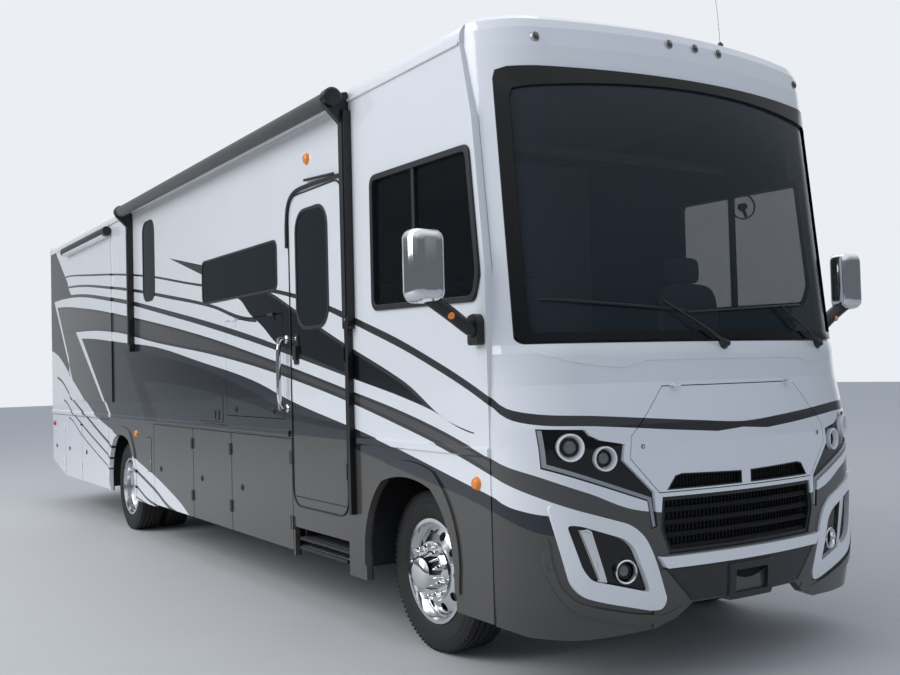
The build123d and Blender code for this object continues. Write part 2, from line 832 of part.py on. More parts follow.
def disc_wheel(x_mid, side, axle_y, disc_points):
    """A flanged rim with a dished disc and a ring of round hand holes."""
    wheel = turned(barrel_points, x_mid, side, axle_y) + turned(disc_points, x_mid, side, axle_y)
    for hole in range(hand_holes):
        angle = math.radians(360 / hand_holes * hole)
        y = axle_y + hand_hole_circle * math.cos(angle)
        z = axle_z + hand_hole_circle * math.sin(angle)
        wheel -= tube_x(x_mid - 114, x_mid + 114, y, z, hand_hole_radius)
    return wheel


def tyre(x_mid, axle_y):
    """A tyre with flat beads, bulged sides and a slightly crowned tread."""
    far_side = [(-x, radius) for x, radius in reversed(tyre_points)]
    return turned(tyre_points + [(0, tyre_radius)] + far_side, x_mid, 1, axle_y)


spindle_bore = 40.05
axle_bore = 45.05
steer_hub_points = [(-35, spindle_bore), (-35, 105), (98, 105), (104, 96), (148, 86), (164, 58),
                    (164, 0), (80, 0), (80, spindle_bore)]
drive_hub_points = [(-230, axle_bore), (-230, 120), (-80, 120), (-76, 96), (58, 82), (78, 55),
                    (78, 0), (73, 0), (73, axle_bore)]
for side, name in ((-1, "right"), (1, "left")):
    mid = side * front_track_half
    hub = turned(steer_hub_points, mid, side, front_axle_y)
    save(f"front_wheel_{name}", disc_wheel(mid, side, front_axle_y, steer_disc_points) + hub)
    save(f"front_tyre_{name}", tyre(mid, front_axle_y))
    outer = side * rear_outer_half
    inner = side * rear_inner_half
    pair = disc_wheel(outer, side, rear_axle_y, drive_disc_points)
    pair += disc_wheel(inner, -side, rear_axle_y, drive_disc_points)
    save(f"rear_wheels_{name}", pair + turned(drive_hub_points, outer, side, rear_axle_y))
    save(f"rear_tyres_{name}", tyre(outer, rear_axle_y), tyre(inner, rear_axle_y))


# Hinged panels of the side walls

door_inner = half - wall + gap


def hinged_panel(side, y0, y1, z0, z1, outline):
    """A baggage door with its hinge barrels just inside its front edge."""
    edge = y0 + door_seam
    body = block(side * door_inner, side * half, edge, y1 - door_seam, z0, z1) & outline
    axis_x = side * (half + hinge_radius + pin_gap)
    for z in hinge_heights(z0, z1):
        body += rod_z(axis_x, edge + hinge_radius, z - hinge_half, z + hinge_half, hinge_radius)
        body += block(side * half, side * (half + 4), edge, edge + 50, z - hinge_half, z + hinge_half)
    return body


skirt_form = prism_x(wall_outline, -2000, 2000)
for index, (y0, y1) in enumerate(bag_doors_right):
    save(f"bag_door_right_{index + 1}", hinged_panel(-1, y0, y1, bag_low_z, bag_high_z, skirt_form))
for index, (y0, y1) in enumerate(bag_doors_left):
    save(f"bag_door_left_{index + 1}", hinged_panel(1, y0, y1, bag_low_z, bag_high_z, skirt_form))

# Entry door with its window

door = prism_x(door_face(), -door_inner, -half)
door -= prism_x(window_face(door_window), -half - 50, -half + 100)
door_axis_x = -half - hinge_radius - pin_gap
for z in (1000, 1750, 2500):
    door += rod_z(door_axis_x, door_front_y - gap, z - 50, z + 50, hinge_radius)
    door += block(-half - 4, -half - 1, door_front_y - gap, door_front_y, z - 50, z + 50)
    door += block(-half - 4, -half, door_front_y, door_front_y + 45, z - 50, z + 50)
save("entry_door", door)
door_glass = prism_x(window_face(door_window), -half, -half + 6)
save("entry_door_glass", door_glass)

# Outside screen compartment door, hinged at the top

screen_door = block(-door_inner, -half, screen_y0, screen_y1, screen_z0, screen_z1)
for y in (screen_y0 + 200, screen_y1 - 200):
    axis_point = (-half - hinge_radius - pin_gap, screen_z1 + gap)
    screen_door += prism_y(Pos(*axis_point) * Circle(hinge_radius), y - 50, y + 50)
    screen_door += block(-half - 4, -half - 1, y - 50, y + 50, screen_z1, screen_z1 + gap)
    screen_door += block(-half - 4, -half, y - 50, y + 50, screen_z1 - 45, screen_z1)
save("screen_door", screen_door)

# Window panes and frames of the walls

panes = []
frames = []


def framed_window(face_outer, face_inner, side):
    frames.append(
        prism_x(face_outer, side * (half - wall), side * (half + 8))
        - prism_x(face_inner, side * (half - 100), side * (half + 50))
    )
    panes.append(prism_x(face_inner, side * (half - 10), side * (half - 16)))


def flush_window(window, side):
    panes.append(prism_x(window_face(window), side * (half - 6), side * half))
    frames.append(
        prism_x(window_face(window), side * (half - wall), side * (half - 6))
        - prism_x(window_face(window, 30), side * (half - 100), side * (half + 50))
    )


for side in (-1, 1):
    framed_window(cab_window_face(), cab_window_face(32), side)
    divider = block(
        side * (half - 30), side * (half + 4), cab_window_divider_y - 16, cab_window_divider_y + 16,
        1950, 2900,
    )
    divider &= prism_x(cab_window_face(32), side * (half - 100), side * (half + 50))
    divider -= panes[-1]
    frames[-1] += divider
flush_window(small_window, -1)
flush_window(tall_window, -1)
flush_window(rear_left_window, 1)
save("window_glass", *panes)
save("window_frames", *frames)


# Slide-outs: four boards, an outer wall and an overlapping face, open to the cabin

outer_wall = 30


def slide_boards(slide, windows):
    side, y0, y1, z0, z1, travel = slide
    outer_x = side * (half + slide_face_proud)
    inner_x = side * (half + slide_face_proud - travel - 100)
    wall_x = side * (half - outer_wall)
    side_z0, side_z1 = z0 + slide_wall + seat_gap, z1 - slide_wall - seat_gap
    wall = block(wall_x + side * seat_gap, side * half, y0, y1, z0, z1)
    face = block(
        side * (half + seat_gap), outer_x,
        y0 - slide_flange, y1 + slide_flange, z0 - slide_flange, z1 + slide_flange,
    )
    for window in windows:
        cut = prism_x(window_face(window), side * (half - 100), side * (half + 50))
        wall -= cut
        face -= cut
    return [
        block(inner_x, wall_x, y0, y1, z0, z0 + slide_wall),
        block(inner_x, wall_x, y0, y1, z1 - slide_wall, z1),
        block(inner_x, wall_x, y0, y0 + slide_wall, side_z0, side_z1),
        block(inner_x, wall_x, y1 - slide_wall, y1, side_z0, side_z1),
        wall,
        face,
    ]


left_windows = [("dinette", -1900, 2400, 1100, 650, 80), ("sofa", -150, 2400, 1100, 650, 80)]
left_panes = []
for window in left_windows:
    left_panes.append(prism_x(window_face(window), half + slide_face_proud - 6, half + slide_face_proud))
save("slide_out_left_glass", *left_panes)

topper_radius = 38
toppers = []
for slide in (slide_right, slide_left):
    side, y0, y1, z0, z1, travel = slide
    bar = rod_y(side * (half + slide_face_proud + topper_radius), z1 - 10, y0 + 10, y1 - 10, topper_radius)
    toppers.append(bar)
save("slide_out_right", *slide_boards(slide_right, []), toppers[0])
save("slide_out_left", *slide_boards(slide_left, left_windows), toppers[1])

rails_for_slides = []
for slide in (slide_right, slide_left):
    side, y0, y1, z0, z1, travel = slide
    for y in (y0 + 300, y1 - 300):
        rails_for_slides.append(
            block(side * (inside - 500), side * inside, y - 40, y + 40, floor_top_z, z0 - seat_gap)
        )
save("floor", floor, *rails_for_slides)

# Patio awning: a roll between two arms

awning_radius = 55
arm_depth = 60
awning_x = -half - arm_depth - awning_radius - seat_gap
awning_z = 3350
arm_y = (-3600, 1400)
arms = []
for y, low_z in zip(arm_y, (740, 1940)):
    arm = block(-half - arm_depth, -half, y - 36, y + 36, low_z, awning_z - 62)
    head = block(awning_x - awning_radius, -half, y - 36, y + 36, awning_z - 62, awning_z + 62)
    arms.append(arm + head)
roll = rod_y(awning_x, awning_z, arm_y[0] + 36, arm_y[1] - 36, awning_radius)
save("awning_arms", *arms)
save("awning_roll", roll)

# Mirrors

mirror_parts = []
arm_points = [(0, 1765), (0, 1905), (95, 1925), (255, 1975), (350, 1975), (350, 1945), (265, 1945),
              (120, 1870), (50, 1765)]
for side in (-1, 1):
    foot = block(side * half, side * (half + 16), -5070, -4975, 1745, 1915)
    arm = prism_y(polygon([(side * (half + x), z) for x, z in arm_points]), -5050, -5000)
    head = prism_y(rounded(side * (half + 330), 2145, 200, 370, 60), -5108, -4990)
    head = fillet(head.faces().sort_by(Axis.Y)[0].edges(), 24)
    mirror_parts.append(foot + arm + head)
save("mirrors", *mirror_parts)

# Roof equipment

unit_top_z = 3910
units = []
for y in (-2300, 2600):
    plan = Pos(0, 0, roof_top_z - 30) * rounded(0, y, 740, 1050, 110)
    units.append(extrude(plan, amount=unit_top_z - roof_top_z + 30, taper=9))
for y in (-3600, 400):
    plan = Pos(0, 0, roof_top_z - 30) * rounded(-350, y, 420, 420, 40)
    units.append(extrude(plan, amount=120, taper=6))
equipment = [unit - roof for unit in units]
save("roof_equipment", *equipment)

# Rear ladder and grab handle

ladder_x = (560, 900)
ladder = None
for x in ladder_x:
    post = rod_z(x, tail_y - 14, 900, 3300, 14)
    for z in (1000, 2000, 3250):
        post += prism_y(Pos(x, z) * Circle(12), rear_wall_y, tail_y - 14)
    ladder = post if ladder is None else ladder + post
for rung in range(7):
    z = 1000 + rung * 370
    ladder += tube_x(ladder_x[0], ladder_x[1], tail_y - 14, z, 12)
handle_y = -2560
handle = rod_z(-half - 60, handle_y, 1380, 1880, 13)
for z in (1380, 1880):
    handle += tube_x(-half - 60, -half, handle_y, z, 13)
save("grab_rails", ladder, handle)

# Tail lamps and receiver hitch

tail_lamps = []
for side in (-1, 1):
    tail_lamps.append(prism_y(rounded(side * 1080, 1010, 150, 330, 30), rear_wall_y, rear_wall_y + 22))
save("tail_lamps", *tail_lamps)

receiver = block(-32, 32, 5100, tail_y, 480, 544) - block(-25.4, 25.4, 5200, tail_y + 10, 486.6, 537.4)
receiver -= tube_x(-60, 60, tail_y - 90, 512, 8)
crossbar = block(-rail_half - 20, rail_half + 20, 5100, 5180, 480, 560)
hanger_top_z = rail_low_z + 100
hangers = block(-rail_half - 20, -rail_half, 5050, 5230, 480, hanger_top_z)
hangers += block(rail_half, rail_half + 20, 5050, 5230, 480, hanger_top_z)
save("tow_hitch", receiver + crossbar + hangers)

# Entry step, folded below the door

step_frame = block(-half + 20, -half + 520, door_front_y + 40, door_rear_y - 40, 470, 490)
step_lower = block(-half + 10, -half + 480, door_front_y + 60, door_rear_y - 60, 410, 430)
step_links = block(-half + 100, -half + 140, door_front_y + 60, door_front_y + 90, 430, 470)
step_links += block(-half + 100, -half + 140, door_rear_y - 90, door_rear_y - 60, 430, 470)
step_hangers = block(-half + 60, -half + 500, door_front_y + 40, door_front_y + 60, 490, step_floor_z - 40)
step_hangers += block(-half + 60, -half + 500, door_rear_y - 60, door_rear_y - 40, 490, step_floor_z - 40)
save("entry_step", step_frame + step_lower + step_links + step_hangers)

# Cab interior

dash_gap = 14
dash = prism_x(
    polygon(
        [
            (-5480, 1400), (-5480, 1650), (-5380, 1690), (-5290, 1640), (-5260, 1480),
            (-5310, cab_floor_top_z), (-5360, cab_floor_top_z),
        ]
    ),
    -1150, 1150,
)
dash &= cap_block(inset=cap_wall + dash_gap, z_low=cap_bottom_z)

# The steering wheel's plane leans towards the driver

wheel_tilt = math.radians(37)
wheel_x, wheel_y, wheel_z = 620, -5190, 1760
wheel_normal = (0, math.sin(wheel_tilt), math.cos(wheel_tilt))
wheel_plane = Plane(origin=(wheel_x, wheel_y, wheel_z), x_dir=(1, 0, 0), z_dir=wheel_normal)
grip = polygon([(210 + 15 * math.cos(k * math.pi / 4), 15 * math.sin(k * math.pi / 4)) for k in range(8)])
ring = wheel_plane * revolve(Plane.XZ * grip, axis=Axis.Z, revolution_arc=360)
spokes = wheel_plane * (Box(410, 34, 14) + Cylinder(62, 40))
column = wheel_plane * Pos(0, 0, -20 - seat_gap - 105) * Cylinder(32, 210)
save("dashboard", dash + column)
save("steering_wheel", ring + spokes)

seats = []
for x in (-620, 620):
    pedestal = block(x - 180, x + 180, -4960, -4640, cab_floor_top_z, 1350)
    cushion = block(x - 270, x + 270, -5080, -4560, 1350, 1500)
    back = prism_x(polygon([(-4560, 1450), (-4690, 1500), (-4600, 2080), (-4480, 2080)]), x - 260, x + 260)
    head = block(x - 150, x + 150, -4590, -4490, 2080, 2240)
    seats.append(pedestal + cushion + back + head)
save("cab_seats", *seats)
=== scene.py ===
"""Looks of the motorhome: paint, glass, lamps, trim and tyres around the fixed frame."""
import json
import math

import bmesh
import bpy
from mathutils import Matrix, Vector


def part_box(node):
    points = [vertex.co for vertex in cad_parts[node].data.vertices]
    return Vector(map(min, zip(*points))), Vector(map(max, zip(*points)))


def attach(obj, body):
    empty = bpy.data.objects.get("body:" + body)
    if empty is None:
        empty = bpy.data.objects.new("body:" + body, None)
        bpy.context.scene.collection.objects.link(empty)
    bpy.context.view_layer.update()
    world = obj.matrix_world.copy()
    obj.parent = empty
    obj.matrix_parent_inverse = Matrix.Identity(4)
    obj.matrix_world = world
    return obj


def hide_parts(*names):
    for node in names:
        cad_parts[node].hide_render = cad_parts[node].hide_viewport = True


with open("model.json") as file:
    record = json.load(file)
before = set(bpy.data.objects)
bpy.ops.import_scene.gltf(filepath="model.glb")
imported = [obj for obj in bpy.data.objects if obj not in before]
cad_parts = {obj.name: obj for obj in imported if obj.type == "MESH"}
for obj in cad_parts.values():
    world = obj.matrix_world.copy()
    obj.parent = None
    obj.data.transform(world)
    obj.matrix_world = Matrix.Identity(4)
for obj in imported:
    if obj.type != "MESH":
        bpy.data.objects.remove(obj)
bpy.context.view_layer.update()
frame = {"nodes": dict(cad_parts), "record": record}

# Metres; the coach stands on z = 0 with its nose towards -y and its entry door at -x

body_half = 1.295
side_x = -body_half
back_y = 5.56
SIDES = ((-1, "right"), (1, "left"))
AXES = {"x": Vector((1, 0, 0)), "y": Vector((0, 1, 0)), "z": Vector((0, 0, 1))}


def operator(operation, swapped=False):
    """A method that adds a Math node for a wire and the other value."""
    def method(wire, *others):
        values = (wire, *others)[::-1 if swapped else 1]
        return wire.nodes.node("ShaderNodeMath", {"operation": operation}, dict(enumerate(values)))
    return method


class Wire:
    """A node's socket that adds Math nodes when it is used in an expression."""

    def __init__(self, nodes, socket):
        self.nodes, self.socket = nodes, socket

    __add__ = __radd__ = operator("ADD")
    __mul__ = __rmul__ = operator("MULTIPLY")
    __sub__, __rsub__ = operator("SUBTRACT"), operator("SUBTRACT", swapped=True)
    __truediv__ = operator("DIVIDE")
    __gt__, __lt__ = operator("GREATER_THAN"), operator("LESS_THAN")
    __abs__ = operator("ABSOLUTE")
    most = operator("MAXIMUM")


class Nodes:
    """A node tree under construction."""

    def __init__(self, tree):
        self.tree = tree

    def join(self, socket, value):
        if isinstance(value, Wire):
            self.tree.links.new(value.socket, socket)
        elif socket.type == "RGBA" and len(value) == 3:
            socket.default_value = (*value, 1.0)
        else:
            socket.default_value = value

    def node(self, kind, settings=None, inputs=None, out=0):
        """Adds any node: its settings first, then the values or links of its sockets."""
        made = self.tree.nodes.new(kind)
        for key, value in (settings or {}).items():
            if key == "curve":
                points = made.mapping.curves[0].points
                while len(points) < len(value):
                    points.new(0.5, 0.5)
                for point, place in zip(points, value):
                    point.location = place
                made.mapping.update()
            else:
                setattr(made, key, value)
        for key, value in (inputs or {}).items():
            self.join(made.inputs[key], value)
        return Wire(self, made.outputs[out])

    def place(self):
        """The point, or the direction in the world, as three wires."""
        split = self.node("ShaderNodeSeparateXYZ", inputs={0: self.node("ShaderNodeTexCoord", out="Object")})
        return [Wire(self, output) for output in split.socket.node.outputs]

    def mix(self, mask, first, second, blend="MIX"):
        """Colour first where mask is 0, second where it is 1."""
        settings = {"data_type": "RGBA", "blend_type": blend}
        return self.node("ShaderNodeMix", settings, {0: mask, 6: first, 7: second}, out=2)


class Finish(Nodes):
    """A material with one Principled shader."""

    def __init__(self, name, **shader):
        self.material = bpy.data.materials.new(name)
        self.material.use_nodes = True
        super().__init__(self.material.node_tree)
        self.tree.nodes.clear()
        self.shader = self.tree.nodes.new("ShaderNodeBsdfPrincipled")
        output = self.tree.nodes.new("ShaderNodeOutputMaterial")
        self.tree.links.new(self.shader.outputs[0], output.inputs[0])
        self.set(**shader)

    def set(self, **values):
        for name, value in values.items():
            self.join(self.shader.inputs[name.replace("_", " ")], value)

    def texture(self, kind, settings=None, stretch=(1, 1, 1), **inputs):
        where = self.node("ShaderNodeTexCoord", out="Object")
        where = self.node("ShaderNodeMapping", inputs={"Vector": where, "Scale": stretch})
        return self.node(f"ShaderNodeTex{kind}", settings, {"Vector": where, **inputs})

    def noise(self, scale, detail=3.0, stretch=(1, 1, 1)):
        return self.texture("Noise", None, stretch, Scale=scale, Detail=detail)

    def bands(self, direction, scale):
        return self.texture("Wave", {"wave_type": "BANDS", "bands_direction": direction}, Scale=scale)

    def bump(self, height, strength, distance=0.001):
        inputs = {"Height": height, "Strength": strength, "Distance": distance}
        self.set(Normal=self.node("ShaderNodeBump", inputs=inputs))


# The livery is drawn on one flat sheet that wraps round the body: along runs down the side from
# the tail, round the corner and on to the middle of the nose, and up is the height

curve_low, curve_high, curve_top = -7.0, 6.0, 4.0
nose_paint_y = -4.9

# Edges of the painted shapes as (along, height)

thin_top = [(4.5, 2.965), (3.33, 2.883), (1.05, 2.67), (-0.76, 2.423), (-2.6, 2.211), (-3.92, 1.891), (-4.51, 1.707),
            (-5.12, 1.476), (-5.21, 1.432), (-5.35, 1.407), (-5.87, 1.38), (-6.53, 1.338), (-6.85, 1.318)]
thin_low = [(4.5, 2.946), (3.33, 2.861), (1.05, 2.649), (-0.76, 2.401), (-2.6, 2.18), (-3.92, 1.843), (-4.51, 1.661),
            (-5.12, 1.43), (-5.21, 1.383), (-5.35, 1.354), (-5.87, 1.329), (-6.53, 1.285), (-6.85, 1.266)]
second_top = [(4.27, 2.817), (2.19, 2.644), (0.05, 2.38), (-0.98, 2.233), (-1.9, 2.07)]
second_low = [(4.27, 2.792), (2.19, 2.613), (0.05, 2.347), (-0.98, 2.205), (-1.9, 2.035)]
third_top = [(4.18, 2.7), (2.2, 2.522), (0.06, 2.234), (-1.65, 1.973), (-2.42, 1.837), (-3.4, 1.644), (-4.35, 1.45)]
third_low = [(4.18, 2.663), (2.2, 2.478), (0.06, 2.186), (-1.65, 1.924), (-2.42, 1.795), (-3.4, 1.622), (-4.5, 1.417),
             (-4.95, 1.295)]
spear_top = [(-1.6, 2.42), (-2.3, 2.227), (-2.73, 2.076), (-3.39, 1.845), (-4.19, 1.585), (-4.95, 1.302)]
spear_low = [(-1.55, 2.25), (-1.89, 2.086), (-2.08, 2.007), (-2.43, 1.835), (-2.8, 1.74)]
wide_top = [(5.08, 2.594), (3.36, 2.473), (1.67, 2.289), (-0.69, 1.987), (-1.93, 1.794), (-3.39, 1.543), (-4.49, 1.335),
            (-5.08, 1.18), (-5.2, 1.143), (-5.45, 1.091), (-5.75, 1.014), (-6.19, 0.893)]
wide_low = [(3.8, 2.214), (2.22, 2.143), (0.6, 1.966), (-1.33, 1.77), (-2.65, 1.59), (-4.01, 1.346), (-5.07, 1.098),
            (-5.19, 1.057), (-5.49, 0.978), (-5.97, 0.859), (-6.05, 0.838)]
dark_top = [(3.68, 2.127), (1.68, 2.001), (0.6, 1.921), (-0.68, 1.756), (-1.92, 1.584), (-2.64, 1.435), (-3.88, 1.228),
            (-4.9, 1.024), (-5.1, 0.984), (-5.2, 0.946), (-5.33, 0.921), (-5.5, 0.902)]
dark_low = [(-3.4, 1.19), (-3.54, 1.161), (-4.48, 1.017), (-5.06, 0.918), (-5.2, 0.878), (-5.33, 0.841), (-5.51, 0.806)]
ink_top = [(1.9, 1.93), (1.24, 1.897), (0.22, 1.806), (-0.68, 1.701), (-1.9, 1.5), (-2.7, 1.35)]
ink_low = [(1.1, 1.596), (0.23, 1.572), (-0.67, 1.513), (-1.9, 1.4), (-2.7, 1.3)]
skirt_top = [(5.49, 2.028), (4.21, 1.633), (2.99, 1.191), (2.08, 1.006), (1.38, 0.792), (0.74, 0.671), (0.0, 0.499),
             (-0.6, 0.33)]
sash_upper = [(5.14, 1.661), (4.22, 1.371), (3.65, 1.216), (2.3, 0.869), (1.31, 0.66), (0.76, 0.54), (0.1, 0.38)]
sash_middle = [(4.75, 1.365), (4.23, 1.203), (2.31, 0.727), (1.32, 0.5), (0.86, 0.4)]
sash_lower = [(4.47, 1.144), (3.75, 0.939), (2.35, 0.609), (1.38, 0.4)]

white = (0.80, 0.81, 0.83)
stripe_grey = (0.040, 0.041, 0.043)
panel_grey = (0.080, 0.078, 0.077)
slate = (0.021, 0.026, 0.034)
ink = (0.0015, 0.003, 0.006)
skirt_grey = (0.080, 0.076, 0.071)
lining_grey = (0.02, 0.019, 0.018)


def between(value, low, high):
    return (value > low) * (value < high)


def livery(name, lining):
    """Body paint; lining is the colour of what faces the cabin."""
    paint = Finish(name, Coat_Roughness=0.03)
    x, y, z = paint.place()
    along = y - (body_half - abs(x)) * (y < nose_paint_y)

    def edge(points):
        """Height of a stripe's edge, a smooth curve through a few points."""
        scaled = [((a - curve_low) / (curve_high - curve_low), up / curve_top) for a, up in sorted(points)]
        scaled = [(0.0, scaled[0][1]), *scaled, (1.0, scaled[-1][1])]
        share = (along - curve_low) / (curve_high - curve_low)
        return paint.node("ShaderNodeFloatCurve", {"curve": scaled}, {"Value": share}) * curve_top

    def line(first, second):
        """Height of a straight line through two points."""
        (a0, z0), (a1, z1) = first, second
        slope = (z1 - z0) / (a1 - a0)
        return along * slope + (z0 - a0 * slope)

    third_edge, third_floor, wide_edge, wide_floor, dark_edge, spear_edge, skirt_edge = (
        edge(points) for points in (third_top, third_low, wide_top, wide_low, dark_top, spear_top, skirt_top))
    slate_edge = line((5.086, 3.309), (4.16, 2.683))

    # The wide grey stripe turns a corner at the back and falls to the rear wheel
    fold_one_left = line((5.236, 2.654), (4.205, 1.58))
    fold_one_right = line((5.081, 2.594), (4.205, 1.655))
    fold_two_left = line((3.939, 2.21), (2.1, 1.0))
    fold_two_right = line((3.678, 2.15), (2.07, 1.02))
    inside_one = (z < wide_edge) * (z > fold_one_right) * (along < 5.1)
    rims = between(wide_edge - z, 0.0, 0.022) + between(z - wide_floor, 0.0, 0.024)

    # The near-black field with a slanted tail, the spear beside the door and the small leaf
    slant, slant_front = line((1.78, 1.93), (1.0, 1.2)), line((1.1, 1.62), (0.55, 1.2))
    ink_field = (z < edge(ink_top)) * (z > slant) * ((z > edge(ink_low)) + (z < slant_front))
    spear = (z > edge(spear_low)) * (along > -2.43) + (z > third_floor) * (along < -2.43)
    spear = spear * (z < spear_edge) * between(along, -4.95, -1.6)
    spear_core = (z < spear_edge - 0.026) * (z > third_edge) * (along > -4.62)
    leaf = (z < line((0.16, 2.744), (-0.82, 2.577))) * (z > line((0.16, 2.744), (-0.77, 2.502)))

    # Lower body, grey forward of the rear wheel and white with three thin lines behind it
    lower = (z < 1.2) * (along > -3.5) + (z < edge(dark_low)) * (along < -3.5)
    layers = [
        ((z < edge(thin_top)) * (z > edge(thin_low)) * (along < 4.6), stripe_grey),
        ((z < edge(second_top)) * (z > edge(second_low)) * between(along, -2.0, 4.4), stripe_grey),
        ((z < third_edge) * (z > third_floor) * between(along, -2.6, 4.3), stripe_grey),
        ((z < slate_edge) * (along > 4.09), slate),
        ((z < third_floor) * (z > wide_edge) * (z > fold_one_left) * (along < 5.3), white),
        ((z < wide_edge) * (z > fold_one_left), white),
        (inside_one, panel_grey),
        (rims * inside_one * (along > -5.1), stripe_grey),
        ((z < wide_floor) * (z > fold_two_left) * (along < 3.94), white),
        ((z < dark_edge) * (z > fold_two_right) * (along < 3.68), slate),
        ((z < fold_one_left) * (along > 3.9) * (z < slate_edge), slate),
        (ink_field * between(along, -3.5, 1.9), ink),
        (spear, stripe_grey),
        (spear * spear_core, ink),
        (leaf * between(along, -1.0, 0.16), stripe_grey),
        (lower * (z < dark_edge), skirt_grey),
        ((z < skirt_edge) * (along > -0.7), white),
    ]
    for points, width, start in ((sash_upper, 0.034, 5.14), (sash_middle, 0.026, 4.75), (sash_lower, 0.018, 4.47)):
        sash = between(z - edge(points), -width / 2, width / 2) * between(along, -0.5, start)
        layers.append((sash * (z < skirt_edge), stripe_grey))

    # The grey band of the nose drops between the lamp pods and the grille, with the bumper below
    layers.append(((z < wide_edge) * (along < -5.9), skirt_grey))
    layers.append(((abs(x) < 1.262) * between(y, nose_paint_y, 5.44) * (z < 3.36), lining))
    colour = white
    for mask, tint in layers:
        colour = paint.mix(mask, colour, tint)
    dark = paint.node("ShaderNodeSeparateColor", {"mode": "HSV"}, {"Color": colour}, out=2) < 0.3
    haze = paint.mix(paint.noise(1.3), (0.95, 0.955, 0.96), (1.03, 1.03, 1.03))
    paint.set(Base_Color=paint.mix(1.0, colour, haze, "MULTIPLY"), Metallic=dark * 0.2,
              Roughness=dark * paint.noise(900.0, 1.0) * 0.08 + 0.16, Coat_Weight=1.0 - dark * 0.8)
    paint.bump(paint.noise(60.0, 2.0), 0.02)
    return paint.material


def plain(name, colour, roughness, metallic=0.0, grain=80.0, variation=0.12, bump=0.05, **more):
    """A finish with fine grain in its colour, gloss and surface."""
    finish = Finish(name, Metallic=metallic, **more)
    cloud = finish.noise(grain, 4.0)
    low, high = (tuple(min(1.0, c * (1 + change)) for c in colour) for change in (-variation, variation))
    finish.set(Base_Color=finish.mix(cloud, low, high), Roughness=cloud * 0.1 + (roughness - 0.05))
    if bump:
        finish.bump(cloud, bump)
    return finish.material


def tread_rubber():
    tyre = Finish("tyre_rubber", Specular_IOR_Level=0.35)
    dust, fine = tyre.noise(14.0, 5.0), tyre.noise(220.0)
    tyre.set(Base_Color=tyre.mix(dust * 0.6 + fine * 0.25, (0.011, 0.011, 0.012), (0.034, 0.033, 0.032)),
             Roughness=dust * 0.2 + 0.55)
    tyre.bump(fine, 0.18)
    return tyre.material


def windshield_glass():
    """Blue-grey laminated glass, darker in a band along its top."""
    glass = Finish("windshield_glass", IOR=1.5)
    height = glass.place()[2]
    cloud = glass.noise(0.8, 2.0)
    shade = glass.node("ShaderNodeMapRange", inputs={"Value": height, "From Min": 2.75, "From Max": 3.15})
    glass.set(Base_Color=glass.mix(cloud, (0.010, 0.020, 0.030), (0.016, 0.030, 0.042)),
              Roughness=cloud * 0.015 + 0.01, Alpha=shade * 0.3 + 0.55)
    return glass.material


def side_glass():
    """Dark glass, clearer in the cab's side windows."""
    glass = Finish("side_glass", IOR=1.5)
    y = glass.place()[1]
    cloud = glass.noise(0.9, 2.0)
    glass.set(Base_Color=glass.mix(cloud, (0.006, 0.009, 0.012), (0.012, 0.017, 0.021)),
              Roughness=cloud * 0.02 + 0.01, Alpha=0.94 - (y < -3.85) * 0.66)
    return glass.material


def leather():
    """Grey seat leather with a fine grain and soft creases."""
    hide = Finish("seat_leather", Sheen_Weight=0.1)
    grain = hide.texture("Voronoi", {"feature": "DISTANCE_TO_EDGE"}, Scale=260.0)
    crease = hide.noise(18.0, 4.0)
    hide.set(Base_Color=hide.mix(crease, (0.17, 0.165, 0.16), (0.25, 0.245, 0.235)), Roughness=crease * 0.15 + 0.38)
    hide.bump(grain * 0.6 + crease * 0.4, 0.25)
    return hide.material


def awning_weave():
    """Charcoal acrylic cloth with a plain weave."""
    cloth = Finish("awning_weave", Sheen_Weight=0.3)
    fade = cloth.noise(2.5, 3.0, (4, 0.4, 4))
    cloth.set(Base_Color=cloth.mix(fade, (0.014, 0.014, 0.015), (0.034, 0.032, 0.030)), Roughness=fade * 0.1 + 0.78)
    cloth.bump(cloth.bands("Y", 300.0), 0.2, 0.0008)
    return cloth.material


def lens(name, colour, glow=0.0):
    """A lamp lens with small prisms moulded inside."""
    cover = Finish(name, Coat_Weight=1.0, Coat_Roughness=0.03, IOR=1.49)
    ribs = cover.bands("Z", 55.0)
    tint = cover.mix(ribs, tuple(c * 0.6 for c in colour), colour)
    cover.set(Base_Color=tint, Roughness=ribs * 0.08 + 0.08, Emission_Color=tint, Emission_Strength=glow)
    cover.bump(ribs, 0.25, 0.002)
    return cover.material


paint_mat = livery("body_paint", lining_grey)
slide_paint_mat = livery("slide_out_paint", white)
white_mat = plain("white_gelcoat", (0.78, 0.79, 0.81), 0.18, grain=3.0, variation=0.02, bump=0.01,
                  Coat_Weight=1.0, Coat_Roughness=0.03)
windshield_mat = windshield_glass()
glass_mat = side_glass()
black_mat = plain("black_moulding", (0.017, 0.017, 0.019), 0.38, grain=240.0, bump=0.08)
seal_mat = plain("rubber_seal", (0.012, 0.012, 0.012), 0.6, grain=160.0, variation=0.2, bump=0.1)
coated_mat = plain("black_coated_metal", (0.012, 0.012, 0.014), 0.3, 0.2, grain=420.0, bump=0.06)
chassis_mat = plain("chassis_black", (0.02, 0.02, 0.022), 0.5, grain=30.0, variation=0.3)
cast_mat = plain("cast_iron", (0.09, 0.088, 0.085), 0.6, 0.8, grain=60.0, variation=0.3, bump=0.2)
chrome_mat = plain("chrome", (0.80, 0.81, 0.83), 0.08, 1.0, grain=9.0, variation=0.02, bump=0.0)
alloy_mat = plain("polished_alloy", (0.76, 0.77, 0.79), 0.15, 1.0, grain=25.0, variation=0.05, bump=0.01)
